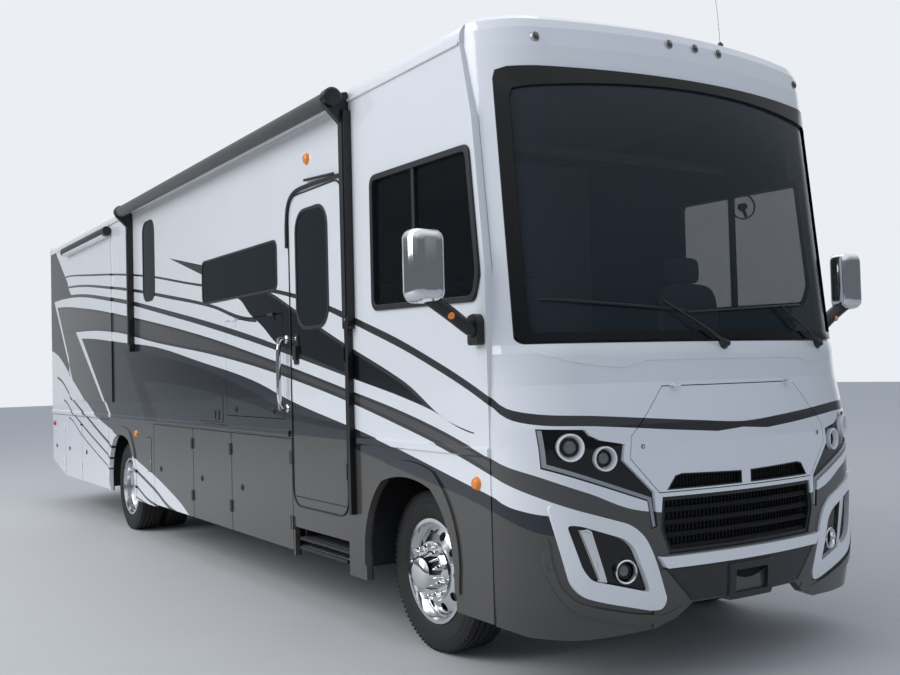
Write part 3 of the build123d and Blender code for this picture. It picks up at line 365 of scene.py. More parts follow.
brushed_mat = plain("satin_aluminium", (0.52, 0.53, 0.55), 0.32, 1.0, grain=130.0, variation=0.1, bump=0.04)
rubber_mat = tread_rubber()
seat_mat = leather()
deck_mat = plain("floor_deck", (0.22, 0.17, 0.13), 0.45, grain=18.0, variation=0.25)
cloth_mat = awning_weave()
lamp_red_mat = lens("red_lens", (0.5, 0.012, 0.012))
amber_mat = lens("amber_lens", (0.95, 0.27, 0.01), 0.15)
clear_mat = lens("clear_lens", (0.72, 0.74, 0.76), 0.1)
gloss_black_mat = plain("gloss_black", (0.003, 0.003, 0.004), 0.12, grain=20.0, bump=0.0)
paint_white_mat = plain("white_body_paint", white, 0.16, grain=3.0, variation=0.02, bump=0.005,
                        Coat_Weight=1.0, Coat_Roughness=0.03)
header_mat = plain("header_vinyl", (0.42, 0.40, 0.33), 0.5, grain=200.0, bump=0.05)
strip_mat = lens("strip_lens", (0.36, 0.37, 0.39))
bulb_mat = lens("projector_lens", (0.16, 0.17, 0.18))
mesh_mat = plain("grille_black", (0.004, 0.004, 0.005), 0.6, grain=200.0, bump=0.06, Specular_IOR_Level=0.2)
bumper_mat = plain("bumper_black", (0.022, 0.022, 0.024), 0.34, grain=260.0, bump=0.06)
smoke_mat = lens("smoked_lens", (0.06, 0.05, 0.045))
frit_mat = plain("black_glass_border", (0.003, 0.003, 0.004), 0.1, grain=20.0, bump=0.0)
dash_mat = plain("dash_vinyl", (0.035, 0.034, 0.034), 0.6, grain=300.0, bump=0.15)

finish_of_slot = {
    "white_body": paint_mat, "grey_body": paint_mat, "black_metal": chassis_mat, "cast_iron": cast_mat,
    "glass": glass_mat, "black_plastic": black_mat, "gloss_black": gloss_black_mat, "rubber": rubber_mat,
    "alloy": alloy_mat, "chrome": chrome_mat, "floor_ply": deck_mat, "seat": seat_mat,
    "awning_cloth": cloth_mat, "lamp_red": lamp_red_mat,
}
finish_of_node = {
    "windshield": windshield_mat, "roof_equipment": white_mat, "roof": white_mat, "grab_rails": brushed_mat,
    "dashboard": dash_mat, "storage_bays": paint_mat, "slide_out_right": slide_paint_mat,
    "slide_out_left": slide_paint_mat,
}
for row in frame["record"]["subparts"]:
    materials = frame["nodes"][row["node"]].data.materials
    materials.clear()
    materials.append(finish_of_node.get(row["node"], finish_of_slot[row["material_slot"]]))


# Mesh makers; every piece is made where it stands, in the coach's own frame

def shown(name, mesh, material, body="coach", sharp=35.0, replaces=()):
    """Puts a finished mesh in the scene as a piece that rides a body."""
    mesh.polygons.foreach_set("use_smooth", [True] * len(mesh.polygons))
    mesh.set_sharp_from_angle(angle=math.radians(sharp))
    mesh.materials.clear()
    mesh.materials.append(material)
    piece = bpy.data.objects.new(name, mesh)
    bpy.context.scene.collection.objects.link(piece)
    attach(piece, body)
    if replaces:
        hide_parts(*replaces)
    return piece


def closed_mesh(name, bm):
    bmesh.ops.remove_doubles(bm, verts=bm.verts, dist=1e-5)
    bmesh.ops.recalc_face_normals(bm, faces=bm.faces)
    mesh = bpy.data.meshes.new(name)
    bm.to_mesh(mesh)
    bm.free()
    return mesh


def bevel_edges(piece, width):
    if width:
        modifier = piece.modifiers.new("edges", "BEVEL")
        modifier.width = width
        modifier.segments = 2
        modifier.limit_method = "ANGLE"
        modifier.angle_limit = math.radians(40)


def filled(loops, place):
    """Flat faces between an outline and the holes in it, each a list of two numbers."""
    bm = bmesh.new()
    for loop in loops:
        corners = [bm.verts.new(place(a, b)) for a, b in loop]
        for first, second in zip(corners, corners[1:] + corners[:1]):
            bm.edges.new((first, second))
    bmesh.ops.triangle_fill(bm, use_beauty=True, use_dissolve=False, edges=bm.edges[:])
    return bm


def thickened(name, bm, offset):
    """A closed plate between flat faces and a copy of them."""
    made = bmesh.ops.extrude_face_region(bm, geom=bm.faces[:], use_keep_orig=True)
    for item in made["geom"]:
        if isinstance(item, bmesh.types.BMVert):
            item.co += offset
    return closed_mesh(name, bm)


def plate(name, loops, axis, near, far, material, bevel=0.0, body="coach", replaces=()):
    """A flat plate with holes, its outline drawn across an axis, between two places on it."""
    bm = filled(loops, (lambda a, b: (near, a, b)) if axis == "x" else (lambda a, b: (a, near, b)))
    mesh = thickened(name, bm, AXES[axis] * (far - near))
    bevel_edges(shown(name, mesh, material, body, replaces=replaces), bevel)


def on_wall(name, loops, low, high, material, bevel=0.0, body="coach", side=-1, replaces=()):
    """A plate over outlines in (y, z) on a side wall, between two distances from it."""
    plate(name, loops, "x", side * (body_half + high), side * (body_half + low), material, bevel, body, replaces)


def ring_on_wall(name, outline, width, low, high, material, bevel=0.003, body="coach", side=-1):
    on_wall(name, [outline, shrunk(outline, width)], low, high, material, bevel, body, side)


def rounded(a, b, width, height, radius, steps=5):
    """Outline of a rectangle with round corners about its middle."""
    points = []
    for k, (sa, sb) in enumerate(((1, 1), (-1, 1), (-1, -1), (1, -1))):
        for i in range(steps + 1):
            angle = math.radians(90 * k + 90 * i / steps)
            points.append((
                a + sa * (width / 2 - radius) + radius * math.cos(angle),
                b + sb * (height / 2 - radius) + radius * math.sin(angle),
            ))
    return points


def whole_turn(steps):
    """Angles at even steps round a circle."""
    return [math.tau * i / steps for i in range(steps)]


def circle(a, b, radius):
    return [(a + radius * math.cos(angle), b + radius * math.sin(angle)) for angle in whole_turn(32)]


def eased(points, radius, steps=5):
    """An outline with its corners rounded; a corner takes less than half of a short edge."""
    most = 0.45
    out = []
    for i, point in enumerate(points):
        here = Vector(point)
        before = Vector(points[i - 1]) - here
        after = Vector(points[(i + 1) % len(points)]) - here
        cut = min(radius, before.length * most, after.length * most)
        start, end = here + before.normalized() * cut, here + after.normalized() * cut
        for k in range(steps + 1):
            t = k / steps
            spot = start * (1 - t) ** 2 + here * (2 * t * (1 - t)) + end * t ** 2
            out.append((spot.x, spot.y))
    return out


def shrunk(points, distance):
    """An outline moved inwards by a distance, its corners kept square unless they are very sharp."""
    sharpest = 0.35
    area = sum(p[0] * q[1] - q[0] * p[1] for p, q in zip(points, points[1:] + points[:1]))
    turn = 1 if area > 0 else -1
    out = []
    for i, point in enumerate(points):
        here = Vector(point)
        along_in = (here - Vector(points[i - 1])).normalized()
        along_out = (Vector(points[(i + 1) % len(points)]) - here).normalized()
        inward_in = Vector((-along_in.y, along_in.x)) * turn
        inward_out = Vector((-along_out.y, along_out.x)) * turn
        both = (inward_in + inward_out).normalized()
        reach = distance / max(sharpest, both.dot(inward_in))
        out.append(tuple(here + both * reach))
    return out


def skinned(name, rings, ends=(True, True)):
    """A mesh over rings of points, each joined to the next; ends says which end rings are filled."""
    bm = bmesh.new()
    rows = [[bm.verts.new(spot) for spot in ring] for ring in rings]
    for row, following in zip(rows, rows[1:]):
        for i in range(len(row)):
            bm.faces.new((row[i - 1], row[i], following[i], following[i - 1]))
    for row, filled_in in zip((rows[0], rows[-1]), ends):
        if filled_in:
            bm.faces.new(row)
    return closed_mesh(name, bm)


def turned(name, profile, centre, axis, segments, first=None):
    """A turned mesh from points (distance along the axis, radius); first is the way its rings start."""
    axis = Vector(axis).normalized()
    side = first or axis.orthogonal().normalized()
    across = axis.cross(side)
    spokes = [side * math.cos(angle) + across * math.sin(angle) for angle in whole_turn(segments)]
    rings = [[Vector(centre) + axis * along + spoke * radius for spoke in spokes] for along, radius in profile]
    closes = profile[0] == profile[-1]
    return skinned(name, rings, [not closes and profile[end][1] > 0 for end in (0, -1)])


def lathe(name, profile, centre, axis, material, segments=48, body="coach", replaces=(), sharp=35.0):
    shown(name, turned(name, profile, centre, axis, segments), material, body, sharp, replaces)


def knob(name, profile, y, z, material, segments, body="coach", side=-1, out=0.0):
    """A turned piece that stands on a side wall."""
    lathe(name, profile, (side * (body_half + out), y, z), (side, 0, 0), material, segments, body)


def tube(name, points, radius, material, sides=10, flat=1.0):
    """A round or flattened bar along a line of points."""
    line = [Vector(p) for p in points]
    rings, side = [], None
    for i, spot in enumerate(line):
        ahead = (line[min(i + 1, len(line) - 1)] - line[max(i - 1, 0)]).normalized()
        if side is None:
            side = ahead.orthogonal().normalized() if abs(ahead.x) > 0.9 else ahead.cross(AXES["x"]).normalized()
        side = (side - ahead * side.dot(ahead)).normalized()
        over = ahead.cross(side) * flat
        rings.append([spot + (side * math.cos(angle) + over * math.sin(angle)) * radius
                      for angle in whole_turn(sides)])
    shown(name, skinned(name, rings), material)


def smooth_line(points, steps=6):
    """A curve through given points."""
    line = [Vector(p) for p in points]
    ends = [line[0] * 2 - line[1], *line, line[-1] * 2 - line[-2]]
    out = []
    for a, b, c, d in zip(ends, ends[1:], ends[2:], ends[3:]):
        for k in range(steps):
            t = k / steps
            out.append(0.5 * ((2 * b) + (c - a) * t + (2 * a - 5 * b + 4 * c - d) * t * t
                              + (3 * b - a - 3 * c + d) * t ** 3))
    return [*out, line[-1]]


# The skin of the front cap: a wide bow and two corners in plan, leaning back by height

cap_slope = ((0.28, -5.545), (0.45, -5.58), (0.6, -5.59), (1.23, -5.59), (1.33, -5.578), (1.54, -5.53), (1.7, -5.515),
             (1.745, -5.5), (3.2, -5.345), (3.3, -5.335), (3.4, -5.318), (3.45, -5.29), (3.482, -5.235),
             (3.495, -5.17))
bow_radius, corner_radius = 3.4, 0.45


def nose_skin(x, z):
    """Depth of the front cap's outer face at a width and height."""
    front = cap_slope[0][1]
    for (z0, y0), (z1, y1) in zip(cap_slope, cap_slope[1:]):
        if z >= z0:
            front = y0 + (y1 - y0) * min(1.0, (z - z0) / (z1 - z0))
    corner_x = body_half - corner_radius
    bow_y = front + bow_radius
    corner_y = bow_y - math.sqrt((bow_radius - corner_radius) ** 2 - corner_x ** 2)
    reach = min(abs(x), body_half - 1e-4)
    if reach < corner_x * bow_radius / (bow_radius - corner_radius):
        return bow_y - math.sqrt(bow_radius ** 2 - reach ** 2)
    return corner_y - math.sqrt(corner_radius ** 2 - (reach - corner_x) ** 2)


def nose_mesh(name, loops, proud, depth, step=0.05):
    """A plate over outlines in (x, z) that follows the cap's skin, standing proud of it or sunk."""
    bm = filled(loops, lambda x, z: (x, 0.0, z))
    for axis in ("x", "z"):
        spots = [getattr(vert.co, axis) for vert in bm.verts]
        low, reach = min(spots), max(spots) - min(spots)
        count = max(1, round(reach / step))
        for i in range(1, count):
            bmesh.ops.bisect_plane(bm, geom=bm.verts[:] + bm.edges[:] + bm.faces[:], dist=1e-6,
                                   plane_co=AXES[axis] * (low + reach * i / count), plane_no=AXES[axis])
    for vert in bm.verts:
        vert.co.y = nose_skin(vert.co.x, vert.co.z) - proud
    return thickened(name, bm, AXES["y"] * depth)


def nose_plate(name, loops, proud, depth, material, bevel=0.0, body="coach", step=0.05, replaces=()):
    piece = shown(name, nose_mesh(name, loops, proud, depth, step), material, body, replaces=replaces)
    bevel_edges(piece, bevel)


def even(points, count):
    """The same closed outline with its points at even steps."""
    line = [Vector(p) for p in [*points, points[0]]]
    total = sum((b - a).length for a, b in zip(line, line[1:]))
    out, k, done = [], 0, 0.0
    for i in range(count):
        target = total * i / count
        while done + (line[k + 1] - line[k]).length < target:
            done += (line[k + 1] - line[k]).length
            k += 1
        out.append(line[k].lerp(line[k + 1], (target - done) / (line[k + 1] - line[k]).length))
    return out


def nose_ring(name, outer, inner, proud, depth, material):
    """A border between two outlines on the cap's skin, as one closed band."""
    edges = ((outer, 0.0), (inner, 0.0), (inner, depth), (outer, depth), (outer, 0.0))
    rings = [[(p.x, nose_skin(p.x, p.y) - proud + back, p.y) for p in even(outline, 160)]
             for outline, back in edges]
    shown(name, skinned(name, rings, (False, False)), material)


def faced(side, points):
    """An outline drawn for the right side, taken to either side of the coach."""
    return points if side < 0 else [(-a, b) for a, b in reversed(points)]


# Geometry Nodes trees for what repeats: a row of copies and a ring of copies

def repeat_tree(name, extra, build):
    """A tree whose build function places copies of the item by the group's inputs."""
    tree = bpy.data.node_groups.new(name, "GeometryNodeTree")
    tree.interface.new_socket("Geometry", in_out="OUTPUT", socket_type="NodeSocketGeometry")
    for label, kind in (("Item", "Geometry"), ("Count", "Int"), (extra, "Vector"), ("Finish", "Material")):
        tree.interface.new_socket(label, in_out="INPUT", socket_type=f"NodeSocket{kind}")
    nodes = Nodes(tree)
    given = {socket.name: Wire(nodes, socket) for socket in tree.nodes.new("NodeGroupInput").outputs}
    solid = nodes.node("GeometryNodeRealizeInstances", inputs={0: build(nodes, given)})
    painted = nodes.node("GeometryNodeSetMaterial", inputs={"Geometry": solid, "Material": given["Finish"]})
    nodes.join(tree.nodes.new("NodeGroupOutput").inputs[0], painted)
    return tree


def copies(nodes, given, step, **more):
    """One copy of the item on each point of a line."""
    line = nodes.node("GeometryNodeMeshLine", inputs={"Count": given["Count"], "Offset": step})
    return nodes.node("GeometryNodeInstanceOnPoints", inputs={"Points": line, "Instance": given["Item"], **more})


def row_build(nodes, given):
    return copies(nodes, given, given["Step"])


def ring_build(nodes, given):
    """Copies turned about an axle, which runs along x through the centre."""
    angle = nodes.node("GeometryNodeInputIndex") / given["Count"] * math.tau
    turn = nodes.node("ShaderNodeCombineXYZ", inputs={"X": angle})
    ring = copies(nodes, given, (0.0, 0.0, 0.0), Rotation=turn)
    return nodes.node("GeometryNodeTransform", inputs={"Geometry": ring, "Translation": given["Centre"]})


row_of = repeat_tree("even_row", "Step", row_build)
ring_of = repeat_tree("axle_ring", "Centre", ring_build)


def grown(name, tree, item, material, body="coach", **values):
    """Runs a tree on an item's mesh and keeps the result as a plain mesh."""
    seed = bpy.data.objects.new(name + "_seed", item)
    bpy.context.scene.collection.objects.link(seed)
    modifier = seed.modifiers.new("copies", "NODES")
    modifier.node_group = tree
    settings = {**values, "Finish": material}
    for socket in tree.interface.items_tree:
        if socket.in_out == "INPUT" and socket.name in settings:
            modifier[socket.identifier] = settings[socket.name]
    seed.update_tag()
    mesh = bpy.data.meshes.new_from_object(seed.evaluated_get(bpy.context.evaluated_depsgraph_get()))
    bpy.data.objects.remove(seed)
    return shown(name, mesh, material, body)


def bar_mesh(name, low, high, chamfer=0.0):
    """A small box with its edges cut, as an item to repeat."""
    bm = bmesh.new()
    bmesh.ops.create_cube(bm, size=1.0)
    for vert in bm.verts:
        vert.co = Vector(l + (h - l) * (c + 0.5) for l, h, c in zip(low, high, vert.co))
    if chamfer:
        bmesh.ops.bevel(bm, geom=bm.edges[:], offset=chamfer, segments=1, affect="EDGES")
    return closed_mesh(name, bm)


def box(name, low, high, material, chamfer):
    shown(name, bar_mesh(name, low, high, chamfer), material)


# Nose: lamp panels, lower pods, grille, vents and screen border

lamp_outline = [(-1.173, 1.323), (-0.966, 1.314), (-0.941, 1.284), (-0.891, 1.259), (-0.764, 1.234), (-0.776, 1.155),
                (-0.608, 0.986), (-0.597, 0.817), (-0.629, 0.807), (-0.649, 0.944), (-1.163, 1.131)]
guide_outer = [(-1.168, 1.318), (-1.157, 1.137), (-0.640, 0.950), (-0.618, 0.812)]
guide_inner = [(-0.602, 0.818), (-0.622, 0.962), (-1.140, 1.152), (-1.150, 1.317)]
pod_outline = [(-1.078, 0.856), (-1.019, 0.850), (-0.791, 0.771), (-0.738, 0.724), (-0.648, 0.493), (-0.967, 0.579),
               (-1.010, 0.636)]
day_lamp = [(-1.019, 0.831), (-0.978, 0.833), (-0.948, 0.818), (-0.872, 0.559), (-0.922, 0.568)]
lamp_bowls = ((-1.042, 1.231, 0.069), (-0.869, 1.169, 0.062))
fog_bowl = (-0.778, 0.606, 0.060)


def headlamp_side(side, word):
    """Black panels with white bowls, projector lenses and the light strip that follows the lower edge."""
    def panel(name, loops, proud, depth, material, bevel=0.0, replaces=()):
        loops = [faced(side, loop) for loop in loops]
        nose_plate(f"{name}_{word}", loops, proud, depth, material, bevel, replaces=replaces)

    holes = [circle(x, z, radius * 0.96) for x, z, radius in (*lamp_bowls, fog_bowl)]
    rim = eased(day_lamp, 0.01)
    panel("lamp_panel", [lamp_outline, *holes[:2]], -0.019, 0.022, gloss_black_mat,
          replaces=("headlamps",) if side < 0 else ())
    panel("light_strip", [guide_outer + guide_inner], -0.006, 0.012, strip_mat, 0.002)
    panel("pod_panel", [eased(pod_outline, 0.012), holes[2]], -0.022, 0.02, gloss_black_mat)
    panel("day_lamp_rim", [rim, shrunk(rim, 0.011)], -0.008, 0.02, chrome_mat, 0.002)
    panel("day_lamp", [shrunk(rim, 0.0105)], -0.012, 0.012, clear_mat)
    for index, (x, z, radius) in enumerate((*lamp_bowls, fog_bowl)):
        slope = (nose_skin(abs(x) + 0.01, z) - nose_skin(abs(x) - 0.01, z)) / 0.02
        lean = (-side * slope, 1.0, 0.0)
        centre = (-side * x, nose_skin(x, z), z)
        bowl = [(-0.004, radius), (-0.007, radius - 0.004), (-0.004, radius - 0.009), (0.046, radius * 0.58),
                (0.056, radius * 0.58), (0.052, radius + 0.002), (-0.004, radius)]
        barrel = [(0.026, 0.64), (0.018, 0.62), (0.016, 0.55), (0.026, 0.52), (0.060, 0.52), (0.060, 0.64),
                  (0.026, 0.64)]
        dome = [(0.030 - 0.012 * math.cos(math.pi * k / 12), 0.53 * math.sin(math.pi * k / 12)) for k in range(7)]
        for name, profile, scale, material, segments in (
            ("bowl", bowl, 1.0, white_mat if index < 2 else chrome_mat, 40),
            ("barrel", barrel, radius, black_mat, 40),
            ("lens", [*dome, (0.050, 0.53), (0.050, 0.0)], radius, bulb_mat, 32),
        ):
            profile = [(along, reach * scale) for along, reach in profile]
            lathe(f"lamp_{name}_{word}_{index}", profile, centre, lean, material, segments)


grille_y = -5.59


def net(name, low, high, count, step, level, body):
    """A row of thin uprights that follows the cap's skin."""
    made = grown(name, row_of, bar_mesh("upright", low, high), mesh_mat, body, Count=count, Step=(step, 0.0, 0.0))
    for vert in made.data.vertices:
        vert.co.y += nose_skin(vert.co.x, level) - grille_y


def grille_and_vents():
    """Four broad bars over a mesh, with the same mesh behind the two openings of the hood."""
    outline = [(-0.557, 0.956), (0.557, 0.956), (0.573, 0.800), (0.526, 0.676), (-0.526, 0.676), (-0.573, 0.800)]
    nose_plate("grille_frame", [outline, shrunk(outline, 0.016)], -0.008, 0.036, black_mat, 0.003,
               replaces=("grille",))
    # Painted shade: a dark sheet behind the grille stands in for the shade of the space behind it
    nose_plate("grille_back", [shrunk(outline, 0.008)], -0.048, 0.006, seal_mat)
    item = nose_mesh("slat", [[(-0.555, 0.688), (0.555, 0.688), (0.555, 0.712), (-0.555, 0.712)]], -0.014, 0.03)
    for vert in item.vertices:
        # The upper edge of a bar's face leans back
        if vert.co.y - nose_skin(vert.co.x, vert.co.z) < 0.02 and vert.co.z > 0.70:
            vert.co.y += 0.012
    grown("grille_bars", row_of, item, mesh_mat, Count=4, Step=(0.0, 0.0, 0.0635))
    net("grille_uprights", (-0.503, -5.553, 0.68), (-0.497, -5.541, 0.955), 41, 0.025, 0.8, "coach")
    for side, word in SIDES:
        vent = faced(side, [(-0.531, 0.994), (-0.034, 0.994), (-0.034, 1.061), (-0.440, 1.073), (-0.480, 1.063)])
        # Painted shade: a dark sheet behind each vent opening stands in for the shade inside the hood
        nose_plate(f"hood_vent_{word}", [vent], -0.030, 0.006, seal_mat, body="hood")
        nose_plate(f"hood_vent_lip_{word}", [vent, shrunk(vent, 0.006)], 0.0015, 0.03, black_mat, body="hood")
        x = -0.50 if side < 0 else 0.05
        net(f"hood_vent_net_{word}", (x - 0.0025, -5.572, 0.996), (x + 0.0025, -5.564, 1.060), 23, 0.0205, 1.03, "hood")


def screen_border():
    """Black border printed round the windshield, and what shows through the glass above the dash."""
    half_width, corner_z, crown, steps = 1.145, 3.072, 0.06, 24
    inner_top = [(half_width - 2 * half_width * k / steps, corner_z + crown * (1 - (2 * k / steps - 1) ** 2))
                 for k in range(steps + 1)]
    inner = eased([(-1.155, 1.80), (1.155, 1.80), *inner_top], 0.03, 4)
    outer = eased([(-1.205, 1.757), (1.205, 1.757), (1.197, 3.186), (-1.197, 3.186)], 0.04, 4)
    nose_ring("screen_border", outer, inner, 0.007, 0.018, frit_mat)
    box("header_trim", (-1.19, -4.46, 2.93), (1.19, -4.40, 2.985), header_mat, 0.012)
    fan, ahead = (1.17, -4.60, 2.68), (0.4, 1, 0)
    lathe("cab_fan_ring", [(0.0, 0.085), (0.012, 0.088), (0.024, 0.085), (0.012, 0.078), (0.0, 0.085)], fan, ahead,
          seal_mat, 32)
    lathe("cab_fan_hub", [(-0.01, 0.022), (0.04, 0.026), (0.055, 0.015), (0.055, 0.0)], fan, ahead, seal_mat, 20)
    tube("cab_fan_stem", [(1.185, -4.56, 2.68), (1.225, -4.55, 2.66), (1.248, -4.55, 2.62)], 0.012, seal_mat, 8)


def on_nose(x, z, proud=0.0):
    return Vector((x, nose_skin(x, z) - proud, z))


def wiper(name, pivot, elbow, tips):
    """A wiper arm on its pivot with a long blade that lies on the glass."""
    boss = [(-0.004, 0.030), (0.012, 0.030), (0.030, 0.019), (0.040, 0.017), (0.044, 0.010), (0.044, 0.0)]
    lathe(f"{name}_pivot", boss, on_nose(*pivot), (0, -1, 0.1), black_mat, 24)
    root, joint = on_nose(*pivot, 0.034), on_nose(*elbow, 0.022)
    mid = root.lerp(joint, 0.35) + Vector((0, -0.012, 0.0))
    tube(f"{name}_arm", smooth_line([root, mid, joint]), 0.009, black_mat, 8, 0.6)
    (x0, z0), (x1, z1) = tips
    steps = 12
    blade = [on_nose(x0 + (x1 - x0) * k / steps, z0 + (z1 - z0) * k / steps,
                     0.004 + 0.010 * math.sin(math.pi * k / steps)) for k in range(steps + 1)]
    tube(f"{name}_blade", blade, 0.0075, seal_mat, 6, 0.7)


def small_nose_parts():
    rim = [(-0.006, 0.028), (0.008, 0.027), (0.010, 0.021), (-0.006, 0.021), (-0.006, 0.028)]
    for k, x in enumerate((-1.0, -0.19, 0.0, 0.19, 1.0)):
        spot = on_nose(x, 3.385 - 0.04 * x * x, -0.002)
        lathe(f"roof_lamp_rim_{k}", rim, spot, (0, -1, 0.15), brushed_mat, 24)
        lathe(f"roof_lamp_{k}", [(-0.004, 0.0215), (0.008, 0.020), (0.015, 0.012), (0.017, 0.0)], spot,
              (0, -1, 0.15), smoke_mat, 24)
    tube("radio_mast", [(0.341, -5.2, 3.47), (0.336, -5.19, 3.68), (0.325, -5.175, 3.895)], 0.003, brushed_mat, 6)
    lathe("mast_base", [(-0.012, 0.020), (0.008, 0.018), (0.022, 0.006), (0.022, 0.0)], (0.341, -5.2, 3.484),
          (0, 0, 1), black_mat, 20)
    for side, word in SIDES:
        lathe(f"hood_lock_{word}", [(-0.003, 0.011), (0.002, 0.011), (0.002, 0.0075), (-0.002, 0.006), (-0.002, 0.0)],
              on_nose(side * 0.663, 1.22), (0, -1, 0), black_mat, 20, "hood")
    nose_plate("plate_rim", [rounded(0.0, 0.49, 0.322, 0.182, 0.022), rounded(0.0, 0.49, 0.24, 0.118, 0.008)],
               0.0275, 0.02, bumper_mat, 0.006)
    nose_plate("plate_recess", [rounded(0.0, 0.49, 0.25, 0.128, 0.008)], -0.001, 0.004, mesh_mat)


def lower_mouldings():
    """Rounded surrounds of the lower pods, the strip under the grille, the lip, the bumper and the cowl."""
    outer = [(-1.154, 0.965), (-0.751, 0.838), (-0.677, 0.775), (-0.631, 0.682), (-0.552, 0.445), (-0.575, 0.397),
             (-0.640, 0.399), (-0.917, 0.469), (-1.014, 0.503), (-1.066, 0.565)]
    lip = [(-1.150, 0.802), (-1.136, 0.651), (-1.105, 0.550), (-1.041, 0.478), (-0.903, 0.432), (-0.716, 0.388),
           (-0.558, 0.368), (-0.455, 0.402), (-0.440, 0.372), (-0.557, 0.327), (-0.715, 0.335), (-0.900, 0.376),
           (-1.039, 0.424), (-1.105, 0.490), (-1.155, 0.600), (-1.172, 0.700)]
    cowl = [(-1.185, 1.742), (-1.15, 1.705), (-1.007, 1.657), (-0.831, 1.627), (-0.699, 1.619), (-0.575, 1.652)]
    rib = [(0.556, 0.606), (0.50, 0.545), (0.44, 0.48), (0.40, 0.435)]
    for side, word in SIDES:
        surround = [faced(side, eased(outer, 0.05, 6)), faced(side, eased(pod_outline, 0.03, 5))]
        nose_plate(f"pod_surround_{word}", surround, 0.014, 0.034, paint_white_mat, 0.009, step=0.04,
                   replaces=("nose_trim",) if side < 0 else ())
        nose_plate(f"pod_backing_{word}", [faced(side, outer), faced(side, shrunk(outer, 0.05))], -0.004, 0.012,
                   paint_white_mat)
        nose_plate(f"lower_lip_{word}", [faced(side, eased(lip, 0.03, 3))], 0.013, 0.018, paint_mat, 0.007, step=0.04)
        tube(f"bumper_rib_{word}", [on_nose(side * x, z, 0.012) for x, z in rib], 0.009, bumper_mat, 8)
    chin = [(-0.568, 0.606), (0.568, 0.606), (0.606, 0.668), (0.560, 0.664), (-0.560, 0.664), (-0.606, 0.668)]
    nose_plate("grille_strip", [eased(chin, 0.012)], 0.0295, 0.045, paint_white_mat, 0.008)
    panel = [(-0.545, 0.598), (0.545, 0.598), (0.392, 0.424), (-0.392, 0.424)]
    nose_plate("bumper_panel", [eased(panel, 0.012), rounded(0.0, 0.49, 0.31, 0.13, 0.01)], 0.016, 0.008, bumper_mat,
               0.003)
    nose_plate("cowl_panel", [cowl + faced(1, cowl)], 0.004, 0.008, paint_white_mat, 0.002, step=0.06)


lower_mouldings()
for side, word in SIDES:
    headlamp_side(side, word)
grille_and_vents()
screen_border()
wiper("wiper_right", (-0.05, 1.731), (-0.446, 1.961), ((-1.097, 1.970), (-0.296, 1.910)))
wiper("wiper_left", (0.839, 1.727), (0.468, 1.939), ((-0.28, 1.900), (0.70, 1.955)))
small_nose_parts()


# Sides: window frames, entry door trim, latches, markers, awning

def side_windows():
    cab = eased([(-3.88, 1.995), (-5.0, 1.975), (-5.05, 2.11), (-4.975, 2.80), (-3.885, 2.815)], 0.075, 6)
    for side, word in SIDES:
        ring_on_wall(f"cab_window_trim_{word}", cab, 0.034, 0.0, 0.014, black_mat, side=side)
    for name, outline, side in (
        ("living", rounded(-1.6, 2.425, 1.644, 0.374, 0.062), -1),
        ("bath", rounded(0.808, 2.785, 0.404, 0.804, 0.122), -1),
        ("bedroom", rounded(3.0, 2.5, 1.104, 0.624, 0.082), 1),
    ):
        ring_on_wall(f"{name}_window_trim", outline, 0.016, -0.004, 0.006, black_mat, side=side)
    for y, word in ((-1.9, "dinette"), (-0.15, "sofa")):
        ring_on_wall(f"{word}_window_trim", rounded(y, 2.4, 1.104, 0.654, 0.082), 0.016, 0.010, 0.019, black_mat,
                     0.002, "slide_out_left", 1)


def entry_door_parts():
    ring_on_wall("door_window_trim", rounded(-3.01, 2.345, 0.524, 0.834, 0.152), 0.022, -0.003, 0.006, black_mat,
                 body="entry_door")
    edge = eased([(-3.50, 0.705), (-2.635, 0.705), (-2.635, 2.88), (-3.50, 2.88)], 0.14, 8)
    ring_on_wall("door_frame", edge, 0.009, 0.0, 0.007, seal_mat, 0.002)
    gutter = ((-2.62, 2.52), (-2.625, 2.70), (-2.665, 2.83), (-2.78, 2.895), (-3.0, 2.905), (-3.25, 2.90),
              (-3.52, 2.89))
    tube("door_gutter", smooth_line([(side_x - 0.012, y, z) for y, z in gutter]), 0.015, black_mat, 8, 0.7)
    brace = ((-2.967, 2.945), (-3.20, 2.928), (-3.42, 2.912))
    tube("door_brace", [(side_x - 0.022, y, z) for y, z in brace], 0.010, black_mat, 8, 0.7)
    on_wall("door_latch_plate", [rounded(-2.735, 1.80, 0.085, 0.215, 0.02)], 0.0, 0.006, coated_mat, 0.003,
            "entry_door")
    on_wall("door_paddle", [rounded(-2.735, 1.775, 0.055, 0.10, 0.012)], 0.006, 0.022, black_mat, 0.005, "entry_door")
    knob("door_keyhole", [(0.0, 0.013), (0.004, 0.013), (0.006, 0.009), (0.006, 0.0)], -2.735, 1.875, chrome_mat, 20,
         "entry_door", out=0.006)
    kick_line = [(-3.486, 0.772), (-2.649, 0.772), (-2.649, 0.778), (-3.486, 0.778)]
    on_wall("door_kick_line", [kick_line], 0.0, 0.002, seal_mat, body="entry_door")
    bar = ((0.002, 1.385), (0.045, 1.40), (0.064, 1.47), (0.066, 1.63), (0.064, 1.79), (0.045, 1.86), (0.002, 1.875))
    tube("grab_handle", smooth_line([(side_x - out, -2.56, z) for out, z in bar], 8), 0.0165, chrome_mat, 14)
    for z in (1.385, 1.875):
        knob(f"grab_foot_{int(z * 1000)}", [(0.0, 0.030), (0.006, 0.030), (0.014, 0.020), (0.014, 0.0)], -2.56, z,
             chrome_mat, 24)


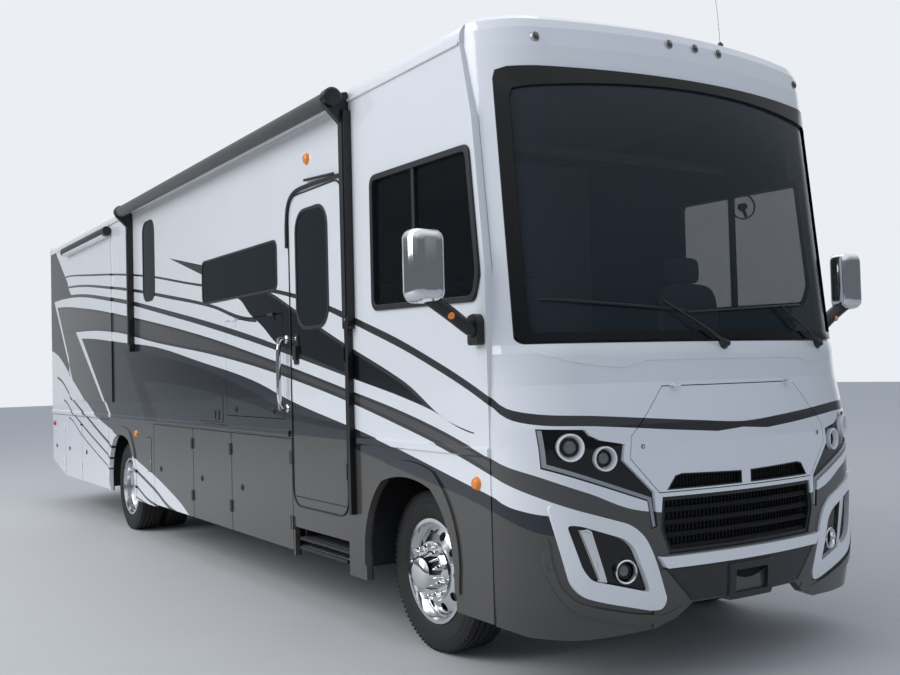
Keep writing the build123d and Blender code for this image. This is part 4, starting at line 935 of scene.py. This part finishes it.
def baggage_latches():
    """Round compression latches with a folding ring."""
    latch = [(0.0, 0.026), (0.004, 0.026), (0.006, 0.022), (0.004, 0.018), (0.004, 0.010), (0.008, 0.009),
             (0.008, 0.0)]
    door_ends = (-1.41, -0.455, 0.737, 3.754, 4.67, 5.44)
    for side, word, ends in ((-1, "right", door_ends), (1, "left", door_ends[:4])):
        for number, y in enumerate(ends, 1):
            knob(f"bag_latch_{word}_{number}", latch, y - 0.23, 0.75, black_mat, 24, f"bag_door_{word}_{number}", side)
    for word, y in (("front", -2.30), ("rear", -1.53)):
        knob(f"screen_latch_{word}", latch, y, 1.36, black_mat, 24, "screen_door")


def marker(name, y, z, side=-1, material=None, radius=0.032):
    knob(name, [(0.0, radius * 1.12), (0.006, radius * 1.1), (0.010, radius), (0.020, radius * 0.8),
                (0.025, radius * 0.4), (0.026, 0.0)], y, z, material or amber_mat, 28, side=side)


def service_panels():
    """Shut lines and lids of the fuel filler and the small hatches, rails and markers."""
    for name, y, z, width, height in (
        ("fuel_lid", 0.893, 0.867, 0.158, 0.344), ("supply_hatch", -0.963, 1.359, 0.554, 0.232),
    ):
        ring = rounded(y, z, width, height, 0.012)
        ring_on_wall(f"{name}_gap", ring, 0.006, 0.0, 0.0012, seal_mat, 0.0)
        on_wall(name, [shrunk(ring, 0.0065)], 0.0, 0.0025, paint_mat, 0.001)
    knob("fuel_lock", [(0.0, 0.012), (0.003, 0.012), (0.003, 0.0)], 0.84, 0.80, chrome_mat, 20, out=0.0025)
    on_wall("hatch_cup", [rounded(-1.10, 1.305, 0.10, 0.085, 0.01), rounded(-1.10, 1.305, 0.082, 0.066, 0.008)],
            0.0025, 0.008, black_mat, 0.002)
    for side, word in SIDES:
        on_wall(f"roof_rail_{word}", [[(-4.90, 3.333), (5.45, 3.333), (5.45, 3.353), (-4.90, 3.353)]], 0.0, 0.012,
                white_mat, 0.004, side=side)
        marker(f"marker_front_{word}", -4.965, 1.042, side)
        marker(f"marker_middle_{word}", 1.334, 1.056, side)
        marker(f"marker_rear_{word}", 5.30, 1.05, side, lamp_red_mat)
    marker("porch_marker", -2.97, 3.093, radius=0.036)


def awning():
    """Cloth wound in a spiral on its tube, end caps, and the folded arms on the wall."""
    arm_ys = (-3.6, 1.4)
    roll_x, roll_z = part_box("awning_roll")[0][0] + 0.055, 3.35
    first, last = arm_ys[0] + 0.036, arm_ys[1] - 0.036
    turns, steps_per_turn, start_radius, end_radius = 9, 28, 0.0285, 0.0535
    cloth_inset = 0.012
    steps = turns * steps_per_turn
    bm = bmesh.new()
    rows = []
    for k in range(steps + 1):
        angle = math.tau * turns * k / steps + math.radians(70)
        radius = start_radius + (end_radius - start_radius) * k / steps
        x, z = roll_x + radius * math.cos(angle), roll_z + radius * math.sin(angle)
        rows.append([bm.verts.new((x, y, z)) for y in (first + cloth_inset, last - cloth_inset)])
    for row, following in zip(rows, rows[1:]):
        bm.faces.new((row[0], row[1], following[1], following[0]))
    mesh = bpy.data.meshes.new("awning_cloth")
    bm.to_mesh(mesh)
    bm.free()
    cloth = shown("awning_cloth", mesh, cloth_mat, "coach", 60, ("awning_roll",))
    lathe("awning_tube", [(0.0, 0.026), (last - first, 0.026)], (roll_x, first, roll_z), (0, 1, 0), brushed_mat, 24)
    cap = [(0.0, 0.0), (0.0, 0.0545), (0.010, 0.0545), (0.012, 0.051), (0.012, 0.0)]
    head = [(0.0, 0.0), (0.0, 0.050), (0.010, 0.062), (0.074, 0.062), (0.084, 0.050), (0.084, 0.0)]
    neck = eased([(side_x - 0.002, 3.13), (roll_x + 0.05, 3.20), (roll_x - 0.055, 3.30), (roll_x - 0.05, 3.36),
                  (side_x - 0.002, 3.40)], 0.02)
    for k, (y, turn) in enumerate(((first, 1), (last, -1))):
        lathe(f"awning_cap_{k}", cap, (roll_x, y - 0.001 * turn, roll_z), (0, turn, 0), black_mat, 36)
    for k, (y, turn) in enumerate(zip(arm_ys, (-1, 1))):
        arm = eased([(y - 0.040, 1.90), (y + 0.040, 1.90), (y + 0.043, 3.28), (y - 0.043, 3.28)], 0.02)
        on_wall(f"awning_arm_{k}", [arm], 0.002, 0.052, coated_mat, 0.006, replaces=("awning_arms",) if k == 0 else ())
        on_wall(f"awning_channel_{k}", [rounded(y, 2.60, 0.044, 1.25, 0.02)], 0.050, 0.058, black_mat, 0.003)
        lathe(f"awning_head_{k}", head, (roll_x, y - turn * 0.042, roll_z), (0, turn, 0), coated_mat, 36)
        plate(f"awning_neck_{k}", [neck], "y", y - turn * 0.030, y + turn * 0.012, coated_mat, 0.006)
        for z in (1.96, 2.02, 3.22):
            knob(f"awning_bolt_{k}_{int(z * 100)}", [(0.0, 0.008), (0.004, 0.008), (0.005, 0.005), (0.005, 0.0)], y, z,
                 chrome_mat, 12, out=0.052)
    low_arm = eased([(-3.602, 0.74), (-3.566, 0.74), (-3.566, 1.93), (-3.602, 1.93)], 0.01)
    on_wall("awning_low_arm", [low_arm], 0.002, 0.038, coated_mat, 0.004)
    for side, word, y0, y1 in ((-1, "right", 2.21, 4.39), (1, "left", -2.94, 0.99)):
        cover = rounded(side * (body_half + 0.052), 3.262, 0.088, 0.10, 0.035)
        plate(f"topper_cover_{word}", [cover], "y", y0, y1, coated_mat, 0.004, f"slide_out_{word}")


side_windows()
entry_door_parts()
baggage_latches()
service_panels()
awning()


# Mirrors: a chrome shell in front, a glass behind, on a black arm with a small lamp

def mirror_head(side, word):
    x0, y0, z0 = Vector((side * (body_half + 0.33), -5.049, 2.145))
    rings = []
    for depth, share in ((0.059, 0.92), (0.052, 0.985), (0.030, 1.0), (0.0, 0.985), (-0.030, 0.93), (-0.048, 0.83),
                         (-0.056, 0.66), (-0.0585, 0.40)):
        ring = rounded(x0, z0 + 0.012 * (1 - share), 0.2 * share, 0.37 * (share * 0.5 + 0.5), 0.055 * share, 6)
        rings.append([(a, y0 + depth, b) for a, b in ring])
    name = f"mirror_shell_{word}"
    shown(name, skinned(name, rings), chrome_mat, "coach", 50, ("mirrors",) if side < 0 else ())
    for name, z, height in (("mirror_glass", z0 + 0.055, 0.21), ("mirror_wide_glass", z0 - 0.115, 0.09)):
        plate(f"{name}_{word}", [rounded(x0, z, 0.155, height, 0.02)], "y", y0 + 0.0585, y0 + 0.055, chrome_mat, 0.001)
    arm = ((0.012, -5.022, 1.825), (0.06, -5.024, 1.835), (0.16, -5.026, 1.90), (0.25, -5.03, 1.955),
           (0.31, -5.035, 1.99))
    tube(f"mirror_arm_{word}", smooth_line([(side * (body_half + out), y, z) for out, y, z in arm]), 0.042, black_mat,
         14, 0.85)
    foot = eased([(-5.07, 1.75), (-4.977, 1.75), (-4.977, 1.90), (-5.045, 1.913), (-5.07, 1.88)], 0.02)
    on_wall(f"mirror_foot_{word}", [foot], 0.0, 0.045, black_mat, 0.012, side=side)
    lathe(f"mirror_lamp_{word}", [(0.0, 0.020), (0.008, 0.019), (0.014, 0.010), (0.015, 0.0)],
          (side * (body_half + 0.19), -5.055, 1.90), (0, -1, 0), amber_mat, 20)


mirror_head(-1, "right")
mirror_head(1, "left")


# Wheels: treaded tyres, hub covers and nut covers

front_y, rear_y, axle_z = -4.23, 1.917, 0.465


def tyre(name, centre, body, replaces=()):
    """A ribbed highway tyre with beads, a rim guard and stepped side rings."""
    half = [(0.099, 0.2920), (0.1055, 0.3030), (0.1150, 0.3160), (0.1200, 0.3290), (0.1215, 0.3330), (0.1215, 0.3380),
            (0.1245, 0.3440), (0.1275, 0.3720), (0.1275, 0.3950), (0.1262, 0.3960), (0.1262, 0.3990), (0.1250, 0.4000),
            (0.1225, 0.4150), (0.1195, 0.4280), (0.1170, 0.4290), (0.1150, 0.4400), (0.1105, 0.4480), (0.1060, 0.4540),
            (0.0940, 0.4615)]
    tread = []
    for middle in (0.069, 0.024):
        tread += [(middle + 0.0055, 0.4638), (middle + 0.0040, 0.4530), (middle - 0.0040, 0.4530),
                  (middle - 0.0055, 0.4642)]
    half += tread
    profile = half + [(-a, r) for a, r in reversed(half)]
    lathe(name, [*profile, profile[0]], centre, (1, 0, 0), rubber_mat, 96, body, replaces, 28)
    bm = bmesh.new()
    for side in (1, -1):
        near, far = sorted((side * 0.094, side * 0.1135))
        bm.from_mesh(bar_mesh("shoulder_block", (near, -0.0085, 0.4500), (far, 0.0085, 0.4618), 0.002))
    item = closed_mesh("block_pair", bm)
    grown(f"{name}_blocks", ring_of, item, rubber_mat, body, Count=88, Centre=centre)


def hub(kind, side, word, centre, body, flange, cover, nuts_out):
    """A hub's flange and cover, with domed nut covers on the bolt circle."""
    for name, profile in (("flange", flange), ("cover", cover)):
        lathe(f"{kind}_hub_{name}_{word}", profile, centre, (side, 0, 0), chrome_mat, 64, body)
    profile = [(0.0, 0.0175), (0.028, 0.0165), (0.030, 0.0140), (0.046, 0.0115), (0.052, 0.006), (0.053, 0.0)]
    nut = turned("nut", profile, (side * nuts_out, 0.0, 0.143), (side, 0, 0), 12, AXES["y"])
    grown(f"{kind}_nuts_{word}", ring_of, nut, chrome_mat, body, Count=10, Centre=centre)


for side, word in SIDES:
    body, centre = f"front_wheel_{word}", (side * 1.01, front_y, axle_z)
    tyre(f"front_tyre_tread_{word}", centre, body, (f"front_tyre_{word}",))
    flange = [(0.104, 0.110), (0.116, 0.172), (0.122, 0.170), (0.124, 0.112), (0.104, 0.110)]
    cover = [(0.112, 0.118), (0.122, 0.117), (0.130, 0.110), (0.200, 0.096), (0.212, 0.091), (0.224, 0.078),
             (0.231, 0.056), (0.234, 0.030), (0.2345, 0.0)]
    hub("front", side, word, centre, body, flange, cover, 0.135)
    body, centre = f"rear_wheels_{word}", (side * 1.09, rear_y, axle_z)
    tyre(f"rear_outer_tread_{word}", centre, body, (f"rear_tyres_{word}",))
    tyre(f"rear_inner_tread_{word}", (side * 0.80, rear_y, axle_z), body)
    flange = [(-0.094, 0.098), (-0.092, 0.172), (-0.086, 0.172), (-0.078, 0.098), (-0.094, 0.098)]
    cover = [(-0.080, 0.108), (-0.060, 0.106), (0.050, 0.092), (0.070, 0.080), (0.082, 0.052), (0.084, 0.0)]
    hub("rear", side, word, centre, body, flange, cover, -0.088)


# Entry step treads, roof units, rear face

def steps_and_roof():
    for word, inset, z in (("lower", 0.03, 0.430), ("upper", 0.04, 0.490)):
        rib = bar_mesh("tread_rib", (side_x + inset, -3.43, z), (side_x + inset + 0.010, -2.71, z + 0.004), 0.001)
        grown(f"{word}_tread_ribs", row_of, rib, brushed_mat, Count=12, Step=(0.03, 0.0, 0.0))
    for k, y in enumerate((-2.3, 2.6)):
        slot = bar_mesh("louvre", (-0.28, y + 0.471, 3.55), (0.28, y + 0.484, 3.562), 0.002)
        grown(f"cooler_louvres_{k}", row_of, slot, seal_mat, Count=10, Step=(0.0, -0.0032, 0.021))
        tube(f"cooler_seam_{k}", [(-0.371, y - 0.52, 3.50), (-0.371, y + 0.52, 3.50)], 0.004, seal_mat, 6)


def rear_face():
    """Lamps, reflectors and a blank plate holder on the back."""
    def on_back(name, loops, low, high, material, bevel):
        plate(name, loops, "y", back_y + high, back_y + low, material, bevel)

    for side, word in SIDES:
        x = side * 1.08
        on_back(f"tail_bezel_{word}", [rounded(x, 1.01, 0.176, 0.356, 0.04), rounded(x, 1.01, 0.146, 0.326, 0.03)],
                0.0, 0.026, chrome_mat, 0.004)
        on_back(f"reverse_lamp_{word}", [rounded(x, 0.90, 0.115, 0.07, 0.02)], 0.02, 0.026, clear_mat, 0.003)
        on_back(f"reflector_{word}", [rounded(side, 0.665, 0.12, 0.045, 0.008)], 0.03, 0.046, lamp_red_mat, 0.003)
    for k, x in enumerate((-1.12, -0.12, 0.0, 0.12, 1.12)):
        on_back(f"rear_marker_{k}", [rounded(x, 3.40, 0.075, 0.028, 0.01)], -0.002, 0.016, lamp_red_mat, 0.004)
    on_back("rear_plate_holder", [rounded(0.0, 0.86, 0.33, 0.19, 0.015)], 0.0, 0.014, black_mat, 0.004)
    on_back("rear_plate_blank", [rounded(0.0, 0.86, 0.305, 0.152, 0.01)], 0.012, 0.017, white_mat, 0.002)
    on_back("rear_camera", [rounded(0.0, 3.30, 0.09, 0.06, 0.015)], 0.0, 0.045, black_mat, 0.01)


steps_and_roof()
rear_face()


# Cab: padded seats on their pedestals

def cushion(name, low, high, crown):
    """A crowned pad whose sides pull in, with sewn channels across."""
    pull_in = 0.02
    channel_depth, channel_place, channel_width = 0.03, 0.55, 0.05
    low, high = Vector(low), Vector(high)
    middle, size = (low + high) / 2, high - low
    bm = bmesh.new()
    bmesh.ops.create_cube(bm, size=1.0)
    bmesh.ops.subdivide_edges(bm, edges=bm.edges[:], cuts=9, use_grid_fill=True)
    thin = min(range(3), key=lambda i: size[i])
    wide = [i for i in range(3) if i != thin]
    for vert in bm.verts:
        a, b, c = vert.co[wide[0]] * 2, vert.co[wide[1]] * 2, vert.co[thin] * 2
        round_off = (abs(a) ** 4 + abs(b) ** 4 + abs(c) ** 4) ** 0.25
        scale = 1.0 if round_off < 1e-6 else max(abs(a), abs(b), abs(c)) / round_off
        vert.co[wide[0]] = a * scale * size[wide[0]] / 2 * (1 - pull_in * (1 - b * b))
        vert.co[wide[1]] = b * scale * size[wide[1]] / 2 * (1 - pull_in * (1 - a * a))
        swell = 1 - crown * (1 - (1 - a * a) * (1 - b * b))
        channel = channel_depth * math.exp(-((abs(a) - channel_place) / channel_width) ** 2)
        vert.co[thin] = c * scale * size[thin] / 2 * (swell - channel)
        vert.co += middle
    pad = shown(name, closed_mesh(name, bm), seat_mat, sharp=80)
    smoother = pad.modifiers.new("smooth", "SUBSURF")
    smoother.levels = smoother.render_levels = 1
    return pad


for x, word in ((-0.62, "passenger"), (0.62, "driver")):
    seat = cushion(f"{word}_cushion", (x - 0.27, -5.08, 1.352), (x + 0.27, -4.56, 1.50), 0.25)
    cushion(f"{word}_backrest", (x - 0.255, -4.66, 1.50), (x + 0.255, -4.53, 2.15), 0.2)
    cushion(f"{word}_headrest", (x - 0.14, -4.60, 2.145), (x + 0.14, -4.50, 2.32), 0.2)
    if word == "passenger":
        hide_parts("cab_seats")
    box(f"{word}_pedestal", (x - 0.17, -4.95, 1.086), (x + 0.17, -4.65, 1.352), black_mat, 0.02)
    for side, side_word in SIDES:
        arm_x = x + side * 0.235
        cushion(f"{word}_arm_{side_word}", (arm_x - 0.034, -4.98, 1.62), (arm_x + 0.034, -4.66, 1.69), 0.1)


# Floor, light and camera

def placed(name, data):
    made = bpy.data.objects.new(name, data)
    bpy.context.scene.collection.objects.link(made)
    return made


def studio():
    reach = 60.0
    floor = bpy.data.meshes.new("floor")
    floor.from_pydata([(-reach, -reach, 0), (reach, -reach, 0), (reach, reach, 0), (-reach, reach, 0)], [],
                      [(0, 1, 2, 3)])
    floor.materials.append(plain("pale_floor", (0.56, 0.56, 0.55), 0.8, grain=2.0, variation=0.03))
    placed("studio_floor", floor)

    # The camera sees a plain pale world; reflections see it darker low down in front of the nose
    world = bpy.data.worlds.new("soft_sky")
    bpy.context.scene.world = world
    world.use_nodes = True
    sky = Nodes(world.node_tree)
    x, y, z = sky.place()
    facing = sky.node("ShaderNodeMapRange", inputs={"Value": x * 0.6 + y * 0.8, "From Min": 0.58, "From Max": 0.78})
    height = sky.node("ShaderNodeMapRange", inputs={"Value": z, "From Min": 0.15, "From Max": 0.6})
    seen, glossy, through = (sky.node("ShaderNodeLightPath", out=f"Is {ray} Ray")
                             for ray in ("Camera", "Glossy", "Transmission"))
    backdrop = sky.mix(facing.most(height).most(seen), (0.13, 0.145, 0.16), (0.83, 0.86, 0.90))
    colour = sky.mix(seen.most(glossy).most(through), (0.50, 0.56, 0.66), backdrop)
    sky.join(sky.tree.nodes["Background"].inputs["Color"], colour)
    aim = Vector((0, -1, 1.5))
    for name, spot, power in (("key", (-14, 1, 10), 1600.0), ("top", (0, 0, 12), 200.0)):
        light = bpy.data.lights.new(name, "AREA")
        light.size = 12.0
        light.energy = power
        lamp = placed(name, light)
        lamp.location = spot
        lamp.rotation_euler = (aim - Vector(spot)).to_track_quat("-Z", "Y").to_euler()


def camera():
    """The camera stands where the photographer stood."""
    photo_width, focal_pixels = 900, 1031.4
    yaw, pitch, roll = (math.radians(angle) for angle in (32.32, 1.79, -1.49))
    view = bpy.data.cameras.new("photo_camera")
    view.sensor_fit = "HORIZONTAL"
    view.sensor_width = 36.0
    view.lens = focal_pixels * view.sensor_width / photo_width
    view.clip_end = 300.0
    forward = Vector((math.sin(yaw) * math.cos(pitch), math.cos(yaw) * math.cos(pitch), math.sin(pitch)))
    right = Vector((math.cos(yaw), -math.sin(yaw), 0.0))
    turn = Matrix.Rotation(-roll, 3, forward)
    matrix = Matrix((turn @ right, turn @ right.cross(forward), -forward)).transposed().to_4x4()
    matrix.translation = (-4.238, -9.393, 1.629)
    eye = placed("photo_camera", view)
    eye.matrix_world = matrix
    bpy.context.scene.camera = eye


studio()
camera()
bpy.context.scene.view_settings.view_transform = "Standard"
